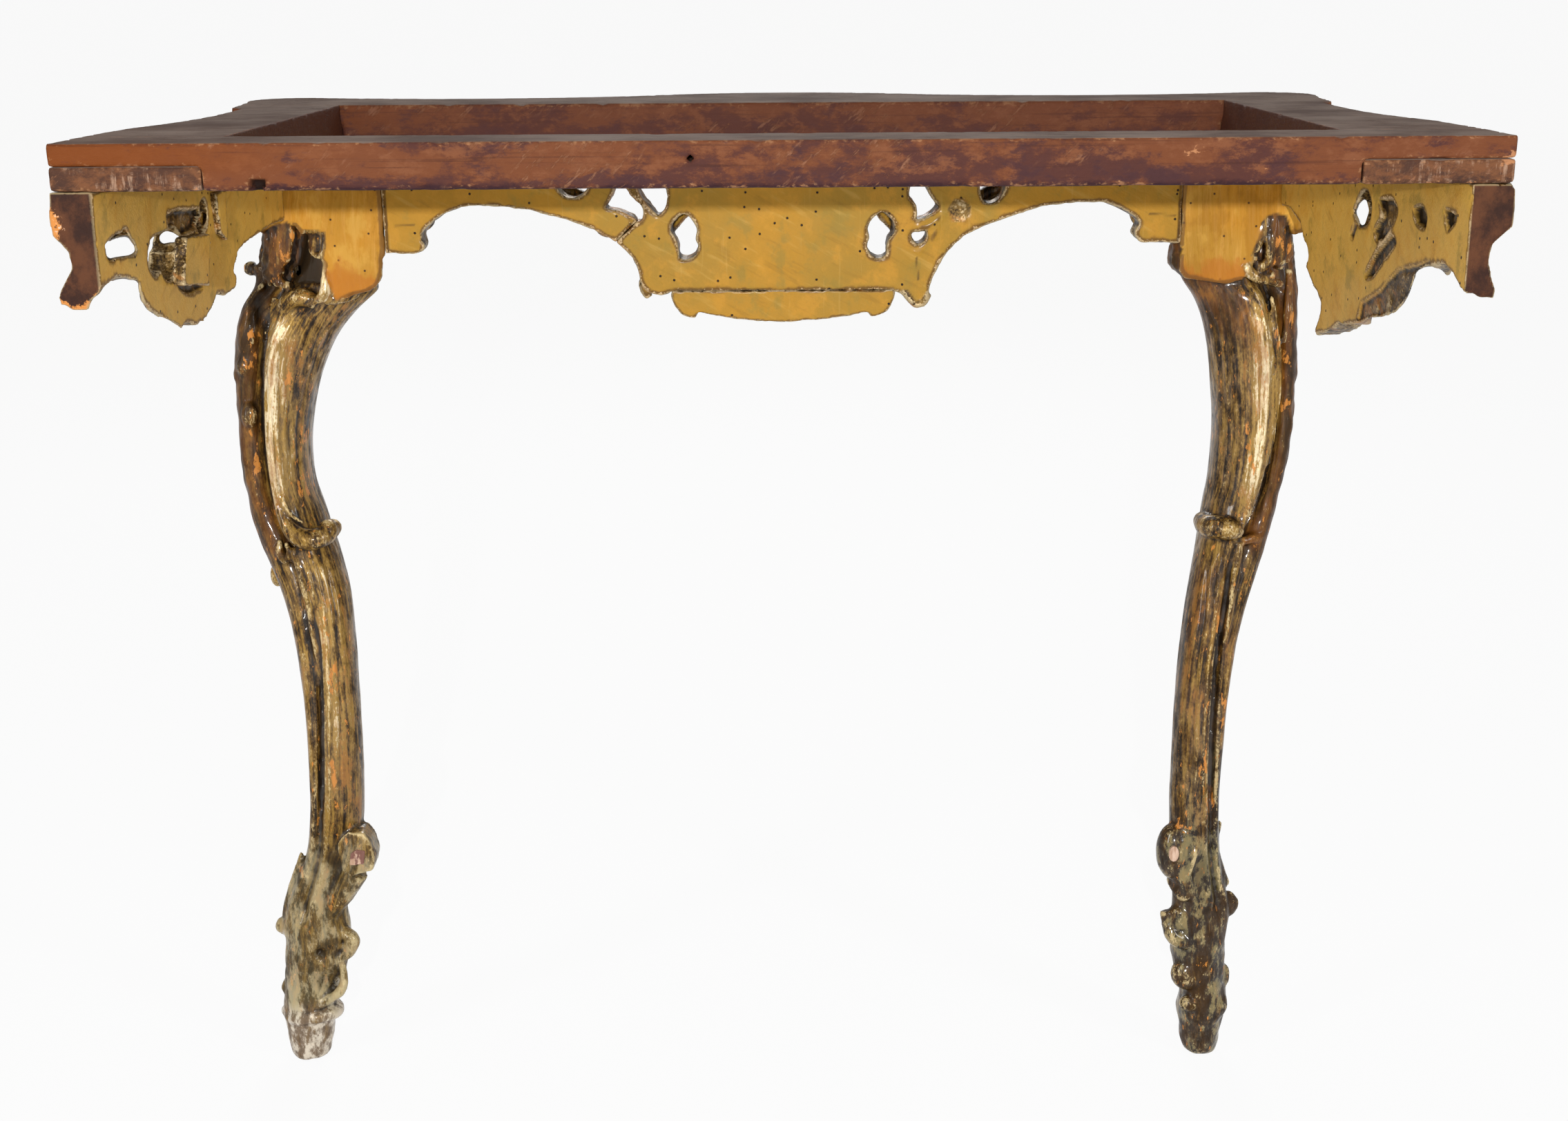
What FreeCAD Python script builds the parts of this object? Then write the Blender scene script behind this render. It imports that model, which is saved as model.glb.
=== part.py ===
import FreeCAD, Part
import math
import os

from FreeCAD import Vector

os.makedirs("parts", exist_ok=True)

# Overall sizes. Left and right are as seen from behind: left is +X, the wall is at +Y.
frame_width = 880.0          # across the back corners of the top frame
frame_depth = 500.0          # from the wall face to the middle of the front edge
table_height = 877.0         # from the floor to the top of the frame

# Top frame: four flat boards, half lapped at the corners
rail_thick = 29.0
lap_thick = 14.0             # upper half of each lap, on the back and front rails
side_rail_width = 92.0
back_rail_width = 52.0
front_rail_width = 137.0     # at the middle, where the front edge bulges most
peg_radius = 4.0
peg_top_cover = 3.0          # wood left over the blind end of a peg
lap_peg_inset = 30.0         # from the opening's corner to the peg, each way
screw_radius = 2.25
screw_length = 40.0
screw_spacing = 55.0
screw_below_top = 11.0

# Leg block and its tenon
block_setback = 104.0        # from the front edge's foremost point to the block's rear face
block_inset = 113.0          # from the frame's end, at the back corner, to the block's inner side
block_width = 103.0
block_depth = 52.0
shoulder_drop = 58.0         # height of the full block under the frame
cheek_width = 48.0           # flat rear cheek that runs on down below the shoulder
cheek_drop = 65.0
cheek_bevel = 12.0
tenon_width = 40.0
tenon_depth = 24.0
tenon_height = 10.0
tenon_clearance = 0.3

# Leg body
leg_half_width = 56.0
leg_half_depth = 40.0
knee_forward = 56.0
leg_sway = 62.0
right_slim_share = 0.95
branch_radius = 15.0         # root of a stretcher that grew out of the leg and was sawn off
branch_length = 92.0
branch_foot = 148.0          # height where the branch starts, inside the leg
branch_rise = 60.0
branch_back = 26.0
branch_inward = 37.0
branch_stand = 7.0           # the sawn face stands this far behind the middle of the branch's end
plug_width = 8.0
plug_height = 11.0
plug_length = 12.0
nub_radius = 9.0
nub_height = 138.0
nub_stand = 29.0             # from the leg's middle line to the nub's end

# Front apron
apron_thick = 26.0
apron_drop = 150.0

# Side aprons
side_apron_thick = 27.0
side_apron_stand = 2.0       # how far the carving stands out past the frame's edge
side_apron_toe = 8.0         # the inner face comes in by this much towards the leg
side_apron_drop = 150.0
glue_block_thick = 9.0
cleat_thick = 5.0

# Carving on the front
shell_petals = 7
shell_reach = 60.0
shell_fan = 132.0            # degrees between the outer petals
petal_root = 5.0             # half width of a petal at the shell's root
petal_tip = 10.0             # and near its rounded tip
petal_thick = 8.0
shell_root_above = 9.0       # the root stands this far above the joint under the cartouche
scroll_thick = 8.0
volute_radius = 14.0
volute_thick = 12.0

overrun = 60.0

half_width = frame_width / 2
back_y = frame_depth / 2
front_y = -frame_depth / 2
top_z = table_height
under_z = table_height - rail_thick
lap_z = table_height - lap_thick
opening_half = half_width - side_rail_width
opening_back = back_y - back_rail_width
opening_front = front_y + front_rail_width
block_inner = half_width - block_inset
block_rear = front_y + block_setback
block_front = block_rear - block_depth
leg_top = under_z - shoulder_drop
leg_axis = block_inner + block_width / 2
apron_front = block_rear - apron_thick
side_apron_length = back_y - block_rear

# Half of the top's outline, from the wall to the middle of the front, stretch by stretch.
# Each point is a share of half the width and a share of half the depth.
plan_shares = [
    [(1.0, 1.0), (0.996, 0.8), (0.984, 0.5)],
    [(0.984, 0.5), (0.977, 0.46)],
    [(0.977, 0.46), (0.95, 0.26), (0.939, 0.06), (0.938, -0.12), (0.943, -0.29)],
    [(0.943, -0.29), (0.965, -0.33)],
    [(0.965, -0.33), (0.975, -0.48), (0.996, -0.7), (0.968, -0.81), (0.884, -0.845),
     (0.78, -0.79), (0.64, -0.752), (0.486, -0.757), (0.284, -0.84), (0.145, -0.961), (0.0, -1.0)],
]

# Leg body, from the foot up: height, half width, half depth, forward, left sway, right sway.
# The lowest row lies under the floor, where the foot is sawn flat.
leg_shares = [
    (-0.015, 0.2, 0.25, 0.37, 1.04, 0.12),
    (0.032, 0.38, 0.5, 0.37, 1.02, 0.06),
    (0.076, 0.49, 0.67, 0.34, 0.97, 0.05),
    (0.127, 0.5, 0.7, 0.27, 0.84, 0.0),
    (0.177, 0.5, 0.7, 0.18, 0.73, -0.06),
    (0.228, 0.46, 0.65, 0.11, 0.55, -0.13),
    (0.278, 0.44, 0.62, 0.07, 0.4, -0.26),
    (0.36, 0.41, 0.6, 0.08, 0.27, -0.28),
    (0.494, 0.43, 0.62, 0.25, 0.31, -0.19),
    (0.57, 0.49, 0.68, 0.46, 0.46, -0.02),
    (0.62, 0.57, 0.74, 0.66, 0.68, 0.14),
    (0.658, 0.57, 0.78, 0.79, 0.86, 0.24),
    (0.72, 0.56, 0.84, 0.93, 1.0, 0.36),
    (0.8, 0.64, 0.94, 1.0, 0.92, 0.39),
    (0.861, 0.74, 0.95, 0.91, 0.74, 0.31),
    (0.918, 0.95, 0.88, 0.75, 0.25, 0.02),
    (0.95, 0.96, 0.82, 0.68, 0.16, 0.0),
    (1.0, 0.89, 0.65, 0.61, 0.03, -0.02),
]

# Section of the leg: outward and rearward shares, with a ridge band on the outer side
leg_section_shares = [
    (-1.0, 0.0), (-0.76, 0.66), (-0.2, 0.96), (0.22, 0.88), (0.4, 0.62), (0.66, 0.75),
    (1.0, 0.1), (0.8, -0.68), (0.46, -0.66), (0.1, -0.92), (-0.5, -0.9), (-0.92, -0.42),
]

# Lower edge of the front apron on each side, from the leg to the cartouche.
# Each point is a share of the distance to the leg block and a share of the apron's drop.
left_wing_shares = [
    [(1.0, 0.625), (0.93, 0.625)],
    [(0.93, 0.625), (0.905, 0.605), (0.9, 0.575), (0.906, 0.53), (0.893, 0.485)],
    [(0.893, 0.485), (0.84, 0.405), (0.76, 0.367), (0.67, 0.38), (0.56, 0.435), (0.48, 0.495), (0.42, 0.57)],
]
left_neck_shares = [
    [(0.42, 0.57), (0.382, 0.65), (0.363, 0.745)],
    [(0.363, 0.745), (0.347, 0.838), (0.281, 0.843)],
]
right_wing_shares = [
    [(1.0, 0.595), (0.91, 0.59)],
    [(0.91, 0.59), (0.886, 0.55), (0.899, 0.49)],
    [(0.899, 0.49), (0.84, 0.395), (0.755, 0.37), (0.65, 0.393), (0.53, 0.475), (0.42, 0.625), (0.368, 0.87)],
    [(0.368, 0.87), (0.366, 0.93), (0.343, 0.943), (0.318, 0.91), (0.31, 0.875)],
    [(0.31, 0.875), (0.281, 0.843)],
]
# The straight joint under the cartouche, and the lower edge of the strip glued on there
joint_share = 0.843
strip_edge_shares = [
    [(0.281, 0.843), (0.262, 0.96), (0.222, 0.995)],
    [(0.222, 0.995), (0.216, 0.965)],
    [(0.216, 0.965), (0.11, 1.0), (0.0, 1.02)],
]
# The neck joint runs across the left wing to the corner of a pierced hole, then up
neck_joint_shares = [(0.42, 0.57), (0.364, 0.455), (0.4, 0.3), (0.4, 0.0)]

# The band of scroll on the front of each wing
scroll_inner_shares = [(0.45, 0.44), (0.64, 0.245), (0.93, 0.4)]
scroll_outer_shares = [(0.44, 0.54), (0.66, 0.345), (0.92, 0.5)]

oval_hole_shares = [(0.25, 0.415), (0.27, 0.45), (0.281, 0.52), (0.262, 0.59), (0.263, 0.65), (0.235, 0.663),
                    (0.217, 0.56), (0.225, 0.45)]
left_hole_shares = [
    [(0.41, 0.14), (0.418, 0.27), (0.446, 0.39), (0.398, 0.41), (0.358, 0.466), (0.347, 0.43),
     (0.356, 0.37), (0.39, 0.28)],
    [(0.345, 0.1), (0.364, 0.2), (0.355, 0.31), (0.332, 0.38), (0.31, 0.432), (0.297, 0.4), (0.3, 0.25),
     (0.315, 0.12)],
    [(0.525, 0.12), (0.565, 0.2), (0.56, 0.28), (0.524, 0.33), (0.487, 0.285), (0.487, 0.18)],
]
right_hole_shares = [
    [(0.345, 0.14), (0.322, 0.25), (0.318, 0.34), (0.337, 0.4), (0.33, 0.463), (0.368, 0.437),
     (0.392, 0.39), (0.361, 0.29)],
    [(0.327, 0.52), (0.347, 0.512), (0.364, 0.52), (0.355, 0.575), (0.34, 0.595), (0.326, 0.565)],
    [(0.525, 0.14), (0.552, 0.2), (0.553, 0.31), (0.53, 0.36), (0.505, 0.368), (0.494, 0.26)],
]

# Lower edge of each side apron, from the wall to the leg: shares of its length and its drop
left_side_shares = [
    [(0.0, 0.48), (0.025, 0.44), (0.055, 0.377), (0.1, 0.385), (0.13, 0.43)],
    [(0.13, 0.43), (0.145, 0.53), (0.2, 0.605), (0.28, 0.665), (0.335, 0.725)],
    [(0.335, 0.725), (0.37, 0.71), (0.405, 0.735)],
    [(0.405, 0.735), (0.49, 0.71), (0.54, 0.64)],
    [(0.54, 0.64), (0.59, 0.668), (0.65, 0.66), (0.662, 0.62), (0.645, 0.585)],
    [(0.645, 0.585), (0.665, 0.53), (0.73, 0.472), (0.85, 0.442), (1.0, 0.435)],
]
right_side_shares = [
    [(0.0, 0.47), (0.045, 0.395), (0.1, 0.362), (0.15, 0.39), (0.2, 0.45)],
    [(0.2, 0.45), (0.29, 0.66), (0.43, 0.745)],
    [(0.43, 0.745), (0.49, 0.8), (0.58, 0.84), (0.65, 0.915), (0.705, 0.95)],
    [(0.705, 0.95), (0.722, 0.945), (0.72, 0.925), (0.702, 0.86), (0.692, 0.785)],
    [(0.692, 0.785), (0.75, 0.72), (0.805, 0.65)],
    [(0.805, 0.65), (0.797, 0.59), (0.82, 0.53), (0.88, 0.43), (1.0, 0.39)],
]
left_side_hole_shares = [
    [(0.035, 0.25), (0.06, 0.215), (0.11, 0.203), (0.14, 0.25), (0.13, 0.28), (0.08, 0.272)],
    [(0.23, 0.285), (0.285, 0.255), (0.34, 0.27), (0.374, 0.31), (0.355, 0.37), (0.34, 0.45), (0.265, 0.42),
     (0.215, 0.37)],
    [(0.515, 0.18), (0.522, 0.28), (0.495, 0.33), (0.465, 0.32), (0.485, 0.26), (0.49, 0.2)],
]
right_side_hole_shares = [
    [(0.45, 0.24), (0.475, 0.17), (0.51, 0.19), (0.527, 0.25), (0.515, 0.31), (0.475, 0.325)],
]
# A side apron's outer face from the top down: drop and thickness, at its ends and in its middle
end_profile_shares = [(0.0, 0.94), (0.1, 1.0), (0.17, 0.97), (0.24, 0.55), (0.31, 0.5), (0.43, 0.82), (1.1, 0.72)]
middle_profile_shares = [(0.0, 0.5), (0.12, 0.56), (0.22, 0.66), (0.32, 0.74), (0.42, 0.84), (0.58, 0.86), (1.1, 0.7)]
# How far along the apron each section stands, and how much of the middle's shape it has
side_station_shares = [(0.0, 0.0), (0.3, 0.7), (0.6, 1.0), (1.0, 0.3)]
left_glue_block_shares = [(0.34, 0.3), (0.46, 0.325), (0.435, 0.555), (0.31, 0.505)]
left_cleat_shares = [(0.54, 0.16), (0.6, 0.16), (0.585, 0.4), (0.555, 0.36)]


def arc_chain(points):
    """A line between two points, or arcs that share their ends, each through the point between."""
    if len(points) == 2:
        return [Part.LineSegment(points[0], points[1]).toShape()]
    starts = range(0, len(points) - 2, 2)
    return [Part.Arc(points[at], points[at + 1], points[at + 2]).toShape() for at in starts]


def line_chain(points):
    return [Part.LineSegment(start, end).toShape() for start, end in zip(points, points[1:])]


def loop_face(points):
    """A face inside a closed chain of arcs."""
    return Part.Face(Part.Wire(arc_chain(points + points[:1])))


def closed_face(edges):
    return Part.Face(Part.Wire(Part.__sortEdges__(edges)))


def polygon_face(points):
    return Part.Face(Part.makePolygon(points + points[:1]))


def box(x0, x1, y0, y1, z0, z1):
    return Part.makeBox(x1 - x0, y1 - y0, z1 - z0, Vector(x0, y0, z0))


def mirrored(shape):
    """The same piece on the other side of the frame's middle plane."""
    return shape.mirror(Vector(0, 0, 0), Vector(1, 0, 0))


def save(pieces):
    """Move the pieces so that the middle of the whole table is the origin, and write them."""
    boxes = [shape.optimalBoundingBox() for shape in pieces.values()]
    middle_x = (max(box.XMax for box in boxes) + min(box.XMin for box in boxes)) / 2
    for node, shape in pieces.items():
        placed = shape.copy()
        placed.translate(Vector(-middle_x, 0, 0))
        placed.exportStep("parts/" + node + ".step")
    print("The frame's middle plane is moved by", -middle_x)


# Top frame
def plan_point(pair, side):
    return Vector(side * pair[0] * half_width, pair[1] * back_y, under_z)


def top_board():
    """The whole outline of the top as one board, from which the four rails are taken."""
    edges = line_chain([Vector(-half_width, back_y, under_z), Vector(half_width, back_y, under_z)])
    for stretch in plan_shares:
        edges += arc_chain([plan_point(pair, 1) for pair in stretch])
        edges += arc_chain([plan_point(pair, -1) for pair in stretch])
    return closed_face(edges).extrude(Vector(0, 0, rail_thick))


def lap_peg_places():
    places = []
    for side in (1, -1):
        x = side * (opening_half + lap_peg_inset)
        places.append((x, opening_back + back_rail_width / 2))
        places.append((x - side * lap_peg_inset / 2, opening_front - lap_peg_inset / 2))
    return places


def pegs():
    height = rail_thick - peg_top_cover
    return [Part.makeCylinder(peg_radius, height, Vector(x, y, under_z)) for x, y in lap_peg_places()]


def tenon(side, clearance):
    """The leg block's tenon, or with a clearance the mortise cut for it."""
    middle_x = side * leg_axis
    middle_y = (block_rear + block_front) / 2
    half_w = tenon_width / 2 + clearance
    half_d = tenon_depth / 2 + clearance
    return box(middle_x - half_w, middle_x + half_w, middle_y - half_d, middle_y + half_d,
               under_z, under_z + tenon_height + clearance)


def screw_holes():
    holes = []
    for x in (0.0, screw_spacing):
        start = Vector(x, back_y - screw_length, top_z - screw_below_top)
        holes.append(Part.makeCylinder(screw_radius, screw_length, start, Vector(0, 1, 0)))
    return holes


def rails():
    board = top_board()
    out = half_width + overrun
    far = back_y + overrun
    back_zone = box(-out, out, opening_back, far, lap_z, top_z)
    back_zone = back_zone.fuse(box(-opening_half, opening_half, opening_back, far, under_z, top_z))
    front_zone = box(-out, out, -far, opening_front, lap_z, top_z)
    front_zone = front_zone.fuse(box(-opening_half, opening_half, -far, opening_front, under_z, top_z))
    side_zone = box(opening_half, out, opening_front, opening_back, under_z, top_z)
    side_zone = side_zone.fuse(box(opening_half, out, -far, far, under_z, lap_z))
    side_zone = side_zone.removeSplitter()
    cuts = pegs()
    back = board.common(back_zone.removeSplitter()).cut(cuts + screw_holes())
    front = board.common(front_zone.removeSplitter()).cut(cuts)
    left = board.common(side_zone).cut(cuts + [tenon(1, tenon_clearance)])
    right = board.common(mirrored(side_zone)).cut(cuts + [tenon(-1, tenon_clearance)])
    return back, front, left, right


# Legs
def leg_section(row, side):
    height, half_w, half_d, forward, left_sway, right_sway = row
    sway = left_sway if side > 0 else right_sway
    slim = 1.0 if side > 0 else right_slim_share
    middle = Vector(side * (leg_axis + sway * leg_sway), block_rear - forward * knee_forward, height * leg_top)
    points = []
    for outward, rearward in leg_section_shares:
        reach = outward * half_w * slim * leg_half_width
        points.append(middle + Vector(side * reach, rearward * half_d * leg_half_depth, 0))
    return Part.makePolygon(points + points[:1])


def leg_middle(height, side):
    """The middle of the leg body at a height, between the two nearest sections."""
    share = height / leg_top
    for low, high in zip(leg_shares, leg_shares[1:]):
        if low[0] <= share <= high[0]:
            part = (share - low[0]) / (high[0] - low[0])
            row = [a + (b - a) * part for a, b in zip(low, high)]
            sway = row[4] if side > 0 else row[5]
            return Vector(side * (leg_axis + sway * leg_sway), block_rear - row[3] * knee_forward, height)


def leg_block(side):
    inner = block_inner
    full = box(inner, inner + block_width, block_front, block_rear, leg_top, under_z)
    cheek_foot = leg_top - cheek_drop
    cheek = box(inner, inner + cheek_width, block_front, block_rear, cheek_foot, leg_top)
    wedge = polygon_face([
        Vector(inner, block_rear, cheek_foot),
        Vector(inner, block_rear, cheek_foot + cheek_bevel),
        Vector(inner, block_rear - cheek_bevel, cheek_foot),
    ]).extrude(Vector(cheek_width, 0, 0))
    block = full.fuse(cheek.cut(wedge))
    return block if side > 0 else mirrored(block)


def branch_end(side):
    """Middle of the sawn face where the stretcher was cut off the leg."""
    foot = leg_middle(branch_foot, side)
    return foot + Vector(-side * branch_inward, branch_back + branch_stand, branch_rise)


def cut_branch(side):
    """The root of the stretcher: it rises out of the rear of the leg and is sawn flat behind."""
    foot = leg_middle(branch_foot, side)
    aim = Vector(-side * branch_inward, branch_back, branch_rise)
    branch = Part.makeCylinder(branch_radius, branch_length, foot, aim)
    rear = branch_end(side).y
    saw = box(-frame_width, frame_width, rear, back_y, 0, table_height)
    return branch.cut(saw)


def stub_plug(side):
    place = branch_end(side)
    return box(place.x - plug_width / 2, place.x + plug_width / 2, place.y - plug_length, place.y,
               place.z - plug_height / 2, place.z + plug_height / 2)


def leg(side):
    sections = [leg_section(row, side) for row in leg_shares]
    body = Part.makeLoft(sections, True)
    below = box(-frame_width, frame_width, -frame_depth, frame_depth, -overrun, 0)
    nub = Part.makeCylinder(nub_radius, nub_stand, leg_middle(nub_height, side), Vector(side, 0, 0))
    body = body.cut(below).fuse([leg_block(side), cut_branch(side), nub, tenon(side, 0)])
    return body.cut(stub_plug(side)).removeSplitter()


# Front apron
def apron_point(pair, side):
    return Vector(side * pair[0] * block_inner, block_rear, under_z - pair[1] * apron_drop)


def apron_slab(face):
    return face.extrude(Vector(0, -apron_thick, 0))


def apron_edges(stretches, side):
    edges = []
    for stretch in stretches:
        edges += arc_chain([apron_point(pair, side) for pair in stretch])
    return edges


def apron_holes(outlines, side):
    return [apron_slab(loop_face([apron_point(pair, side) for pair in outline])) for outline in outlines]


def left_wing():
    """The left wing board, joined to the main board by a slanting glue joint at its neck."""
    joint = [apron_point(pair, 1) for pair in neck_joint_shares]
    corner = [apron_point((1, 0), 1), apron_point(left_wing_shares[0][0], 1)]
    edges = apron_edges(left_wing_shares, 1) + line_chain(joint + corner)
    return apron_slab(closed_face(edges)).cut(apron_holes(left_hole_shares, 1))


def main_board():
    """The middle of the apron and its right wing, in one board with a flat back."""
    edges = apron_edges(left_neck_shares, 1) + apron_edges(right_wing_shares, -1)
    edges += line_chain([apron_point(left_neck_shares[-1][-1], 1), apron_point(right_wing_shares[-1][-1], -1)])
    joint = [apron_point(pair, 1) for pair in neck_joint_shares]
    edges += line_chain(joint + [apron_point((1, 0), -1), apron_point(right_wing_shares[0][0], -1)])
    holes = apron_holes(left_hole_shares, 1) + apron_holes(right_hole_shares, -1)
    holes += apron_holes([oval_hole_shares], 1) + apron_holes([oval_hole_shares], -1)
    return apron_slab(closed_face(edges)).cut(holes)


def drop_strip():
    """The strip glued along the lower edge of the cartouche."""
    edges = apron_edges(strip_edge_shares, 1) + apron_edges(strip_edge_shares, -1)
    edges += line_chain([apron_point(strip_edge_shares[0][0], side) for side in (1, -1)])
    return apron_slab(closed_face(edges))


def shell_petal(turn):
    """One petal of the shell: a flat blade with a rounded tip, turned about the shell's root."""
    root_z = under_z - apron_drop * joint_share + shell_root_above
    points = [
        Vector(-petal_root, apron_front, root_z),
        Vector(-petal_tip, apron_front, root_z + shell_reach),
        Vector(0, apron_front, root_z + shell_reach + petal_tip),
        Vector(petal_tip, apron_front, root_z + shell_reach),
        Vector(petal_root, apron_front, root_z),
    ]
    edges = line_chain(points[:2]) + arc_chain(points[1:4]) + line_chain(points[3:] + points[:1])
    petal = closed_face(edges).extrude(Vector(0, -petal_thick, 0))
    petal.rotate(Vector(0, apron_front, root_z), Vector(0, 1, 0), turn)
    return petal


def cartouche_shell():
    """A fan of petals that rises from one root, carved for the middle of the front."""
    turns = [shell_fan * (number / (shell_petals - 1) - 0.5) for number in range(shell_petals)]
    petals = [shell_petal(turn) for turn in turns]
    return petals[0].fuse(petals[1:]).removeSplitter()


def front_scroll(side):
    """A flat band that follows the wing's lower edge, with a round volute at each end."""
    shift = Vector(0, apron_front - block_rear, 0)
    inner = [apron_point(pair, side) + shift for pair in scroll_inner_shares]
    outer = [apron_point(pair, side) + shift for pair in scroll_outer_shares]
    edges = arc_chain(inner) + arc_chain(outer)
    edges += line_chain([inner[0], outer[0]]) + line_chain([inner[-1], outer[-1]])
    band = closed_face(edges).extrude(Vector(0, -scroll_thick, 0))
    ends = ((inner[0] + outer[0]) / 2, (inner[-1] + outer[-1]) / 2)
    volutes = [Part.makeCylinder(volute_radius, volute_thick, end, Vector(0, -1, 0)) for end in ends]
    return band.fuse(volutes).removeSplitter()


# Side aprons
def side_point(pair, side):
    return Vector(side * (half_width - overrun), back_y - pair[0] * side_apron_length, under_z - pair[1] * side_apron_drop)


def side_apron_inner(along):
    """Distance of the flat inner face from the frame's middle plane, part way to the leg."""
    return half_width + side_apron_stand - side_apron_thick - along * side_apron_toe


def side_apron_body(side):
    """The thick of a side apron: flat inside, moulded outside, swelling in its carved middle."""
    sections = []
    for along, middle_share in side_station_shares:
        y = back_y - along * side_apron_length
        inner = side_apron_inner(along)
        points = [Vector(side * inner, y, under_z)]
        for end_pair, middle_pair in zip(end_profile_shares, middle_profile_shares):
            drop = end_pair[0] + (middle_pair[0] - end_pair[0]) * middle_share
            thick = end_pair[1] + (middle_pair[1] - end_pair[1]) * middle_share
            reach = side * (inner + thick * side_apron_thick)
            points.append(Vector(reach, y, under_z - drop * side_apron_drop))
        points.append(Vector(side * inner, y, points[-1].z))
        sections.append(Part.makePolygon(points + points[:1]))
    return Part.makeLoft(sections, True)


def side_prism(face, side):
    return face.extrude(Vector(side * 2 * overrun, 0, 0))


def side_apron(side, stretches, holes):
    corners = [stretches[-1][-1], (1, 0), (0, 0), stretches[0][0]]
    edges = line_chain([side_point(pair, side) for pair in corners])
    for stretch in stretches:
        edges += arc_chain([side_point(pair, side) for pair in stretch])
    outline = side_prism(closed_face(edges), side)
    pierced = outline.cut([side_prism(loop_face([side_point(pair, side) for pair in hole]), side) for hole in holes])
    return side_apron_body(side).common(pierced)


def side_patch(shares, thick):
    """A block glued to the flat inner face of the left side apron."""
    points = []
    for share in shares:
        place = side_point(share, 1)
        points.append(Vector(side_apron_inner(share[0]), place.y, place.z))
    slope = Vector(side_apron_length, -side_apron_toe, 0)
    slope.normalize()
    return polygon_face(points).extrude(slope * -thick)


back_rail, front_rail, left_rail, right_rail = rails()
save({
    "back_rail": back_rail,
    "front_rail": front_rail,
    "left_rail": left_rail,
    "right_rail": right_rail,
    "lap_pegs": Part.makeCompound(pegs()),
    "left_leg": leg(1),
    "right_leg": leg(-1),
    "left_stub_plug": stub_plug(1),
    "right_stub_plug": stub_plug(-1),
    "front_apron": main_board(),
    "front_apron_left_wing": left_wing(),
    "cartouche_strip": drop_strip(),
    "cartouche_shell": cartouche_shell(),
    "left_front_scroll": front_scroll(1),
    "right_front_scroll": front_scroll(-1),
    "left_side_apron": side_apron(1, left_side_shares, left_side_hole_shares),
    "right_side_apron": side_apron(-1, right_side_shares, right_side_hole_shares),
    "left_side_block": side_patch(left_glue_block_shares, glue_block_thick),
    "left_side_cleat": side_patch(left_cleat_shares, cleat_thick),
})
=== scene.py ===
import math

import bpy
import numpy as np
from mathutils import Matrix, Vector, noise


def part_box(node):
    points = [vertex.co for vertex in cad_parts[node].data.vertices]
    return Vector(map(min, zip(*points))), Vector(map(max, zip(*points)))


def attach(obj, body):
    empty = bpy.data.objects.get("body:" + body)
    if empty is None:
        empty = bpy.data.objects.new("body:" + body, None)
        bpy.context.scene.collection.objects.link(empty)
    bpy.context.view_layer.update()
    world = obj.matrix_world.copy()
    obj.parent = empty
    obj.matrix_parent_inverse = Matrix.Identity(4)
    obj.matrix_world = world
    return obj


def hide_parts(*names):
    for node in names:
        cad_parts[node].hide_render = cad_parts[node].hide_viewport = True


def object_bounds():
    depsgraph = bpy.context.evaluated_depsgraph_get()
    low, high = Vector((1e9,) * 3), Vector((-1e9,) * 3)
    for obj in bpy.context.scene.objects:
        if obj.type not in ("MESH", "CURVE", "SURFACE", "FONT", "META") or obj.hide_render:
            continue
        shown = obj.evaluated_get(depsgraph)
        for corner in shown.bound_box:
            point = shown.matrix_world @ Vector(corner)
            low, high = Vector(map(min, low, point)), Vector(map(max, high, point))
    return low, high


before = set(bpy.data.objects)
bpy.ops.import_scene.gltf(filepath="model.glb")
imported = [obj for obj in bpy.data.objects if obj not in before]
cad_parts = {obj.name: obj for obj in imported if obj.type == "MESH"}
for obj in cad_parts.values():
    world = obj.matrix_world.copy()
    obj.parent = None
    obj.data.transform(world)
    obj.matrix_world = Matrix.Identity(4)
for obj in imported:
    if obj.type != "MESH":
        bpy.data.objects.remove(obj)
cad_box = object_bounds()
scene = bpy.context.scene
scene.view_settings.view_transform = "Standard"

# The table stands on a white studio floor and is seen from behind, from where the wall would be.
# One small lamp just over the camera throws the back rail's shadow onto the aprons.
# Broad soft lamps at both sides and in front, and a pale room, fill in the rest.
MM = 0.001
back_low, back_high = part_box("back_rail")
middle_x = (back_low.x + back_high.x) / 2

lens = bpy.data.cameras.new("view_from_the_wall")
lens.lens = 42.0
lens.sensor_width = 36.0
lens.shift_y = -0.06
camera = bpy.data.objects.new("view_from_the_wall", lens)
scene.collection.objects.link(camera)
camera_place = Matrix.Translation((middle_x, 1.35375, 0.96558))
towards_table = Matrix.Rotation(math.pi, 4, "Z")
tilt = Matrix.Rotation(math.radians(75.27), 4, "X")
roll = Matrix.Rotation(math.radians(-0.35), 4, "Z")
camera.matrix_world = camera_place @ towards_table @ tilt @ roll
scene.camera = camera


def add_lamp(name, place, aim, width, height, watts):
    """A soft lamp that looks at a point."""
    bpy.ops.object.light_add(type="AREA", location=place)
    lamp = bpy.context.object
    lamp.name = name
    lamp.data.shape = "RECTANGLE"
    lamp.data.size = width
    lamp.data.size_y = height
    lamp.data.energy = watts
    lamp.rotation_euler = (Vector(aim) - Vector(place)).to_track_quat("-Z", "Y").to_euler()


add_lamp("flash", (middle_x + 0.10, 2.6, 1.20), (middle_x, -0.1, 0.75), 0.04, 0.04, 52.0)
add_lamp("left_softbox", (1.9, 1.4, 1.35), (0.2, -0.1, 0.6), 0.28, 1.5, 18.0)
add_lamp("right_softbox", (-1.9, 1.4, 1.35), (-0.2, -0.1, 0.6), 0.28, 1.5, 18.0)
add_lamp("front_softbox", (0.0, -2.8, 2.4), (0.0, -0.1, 0.5), 1.4, 1.0, 30.0)


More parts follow.
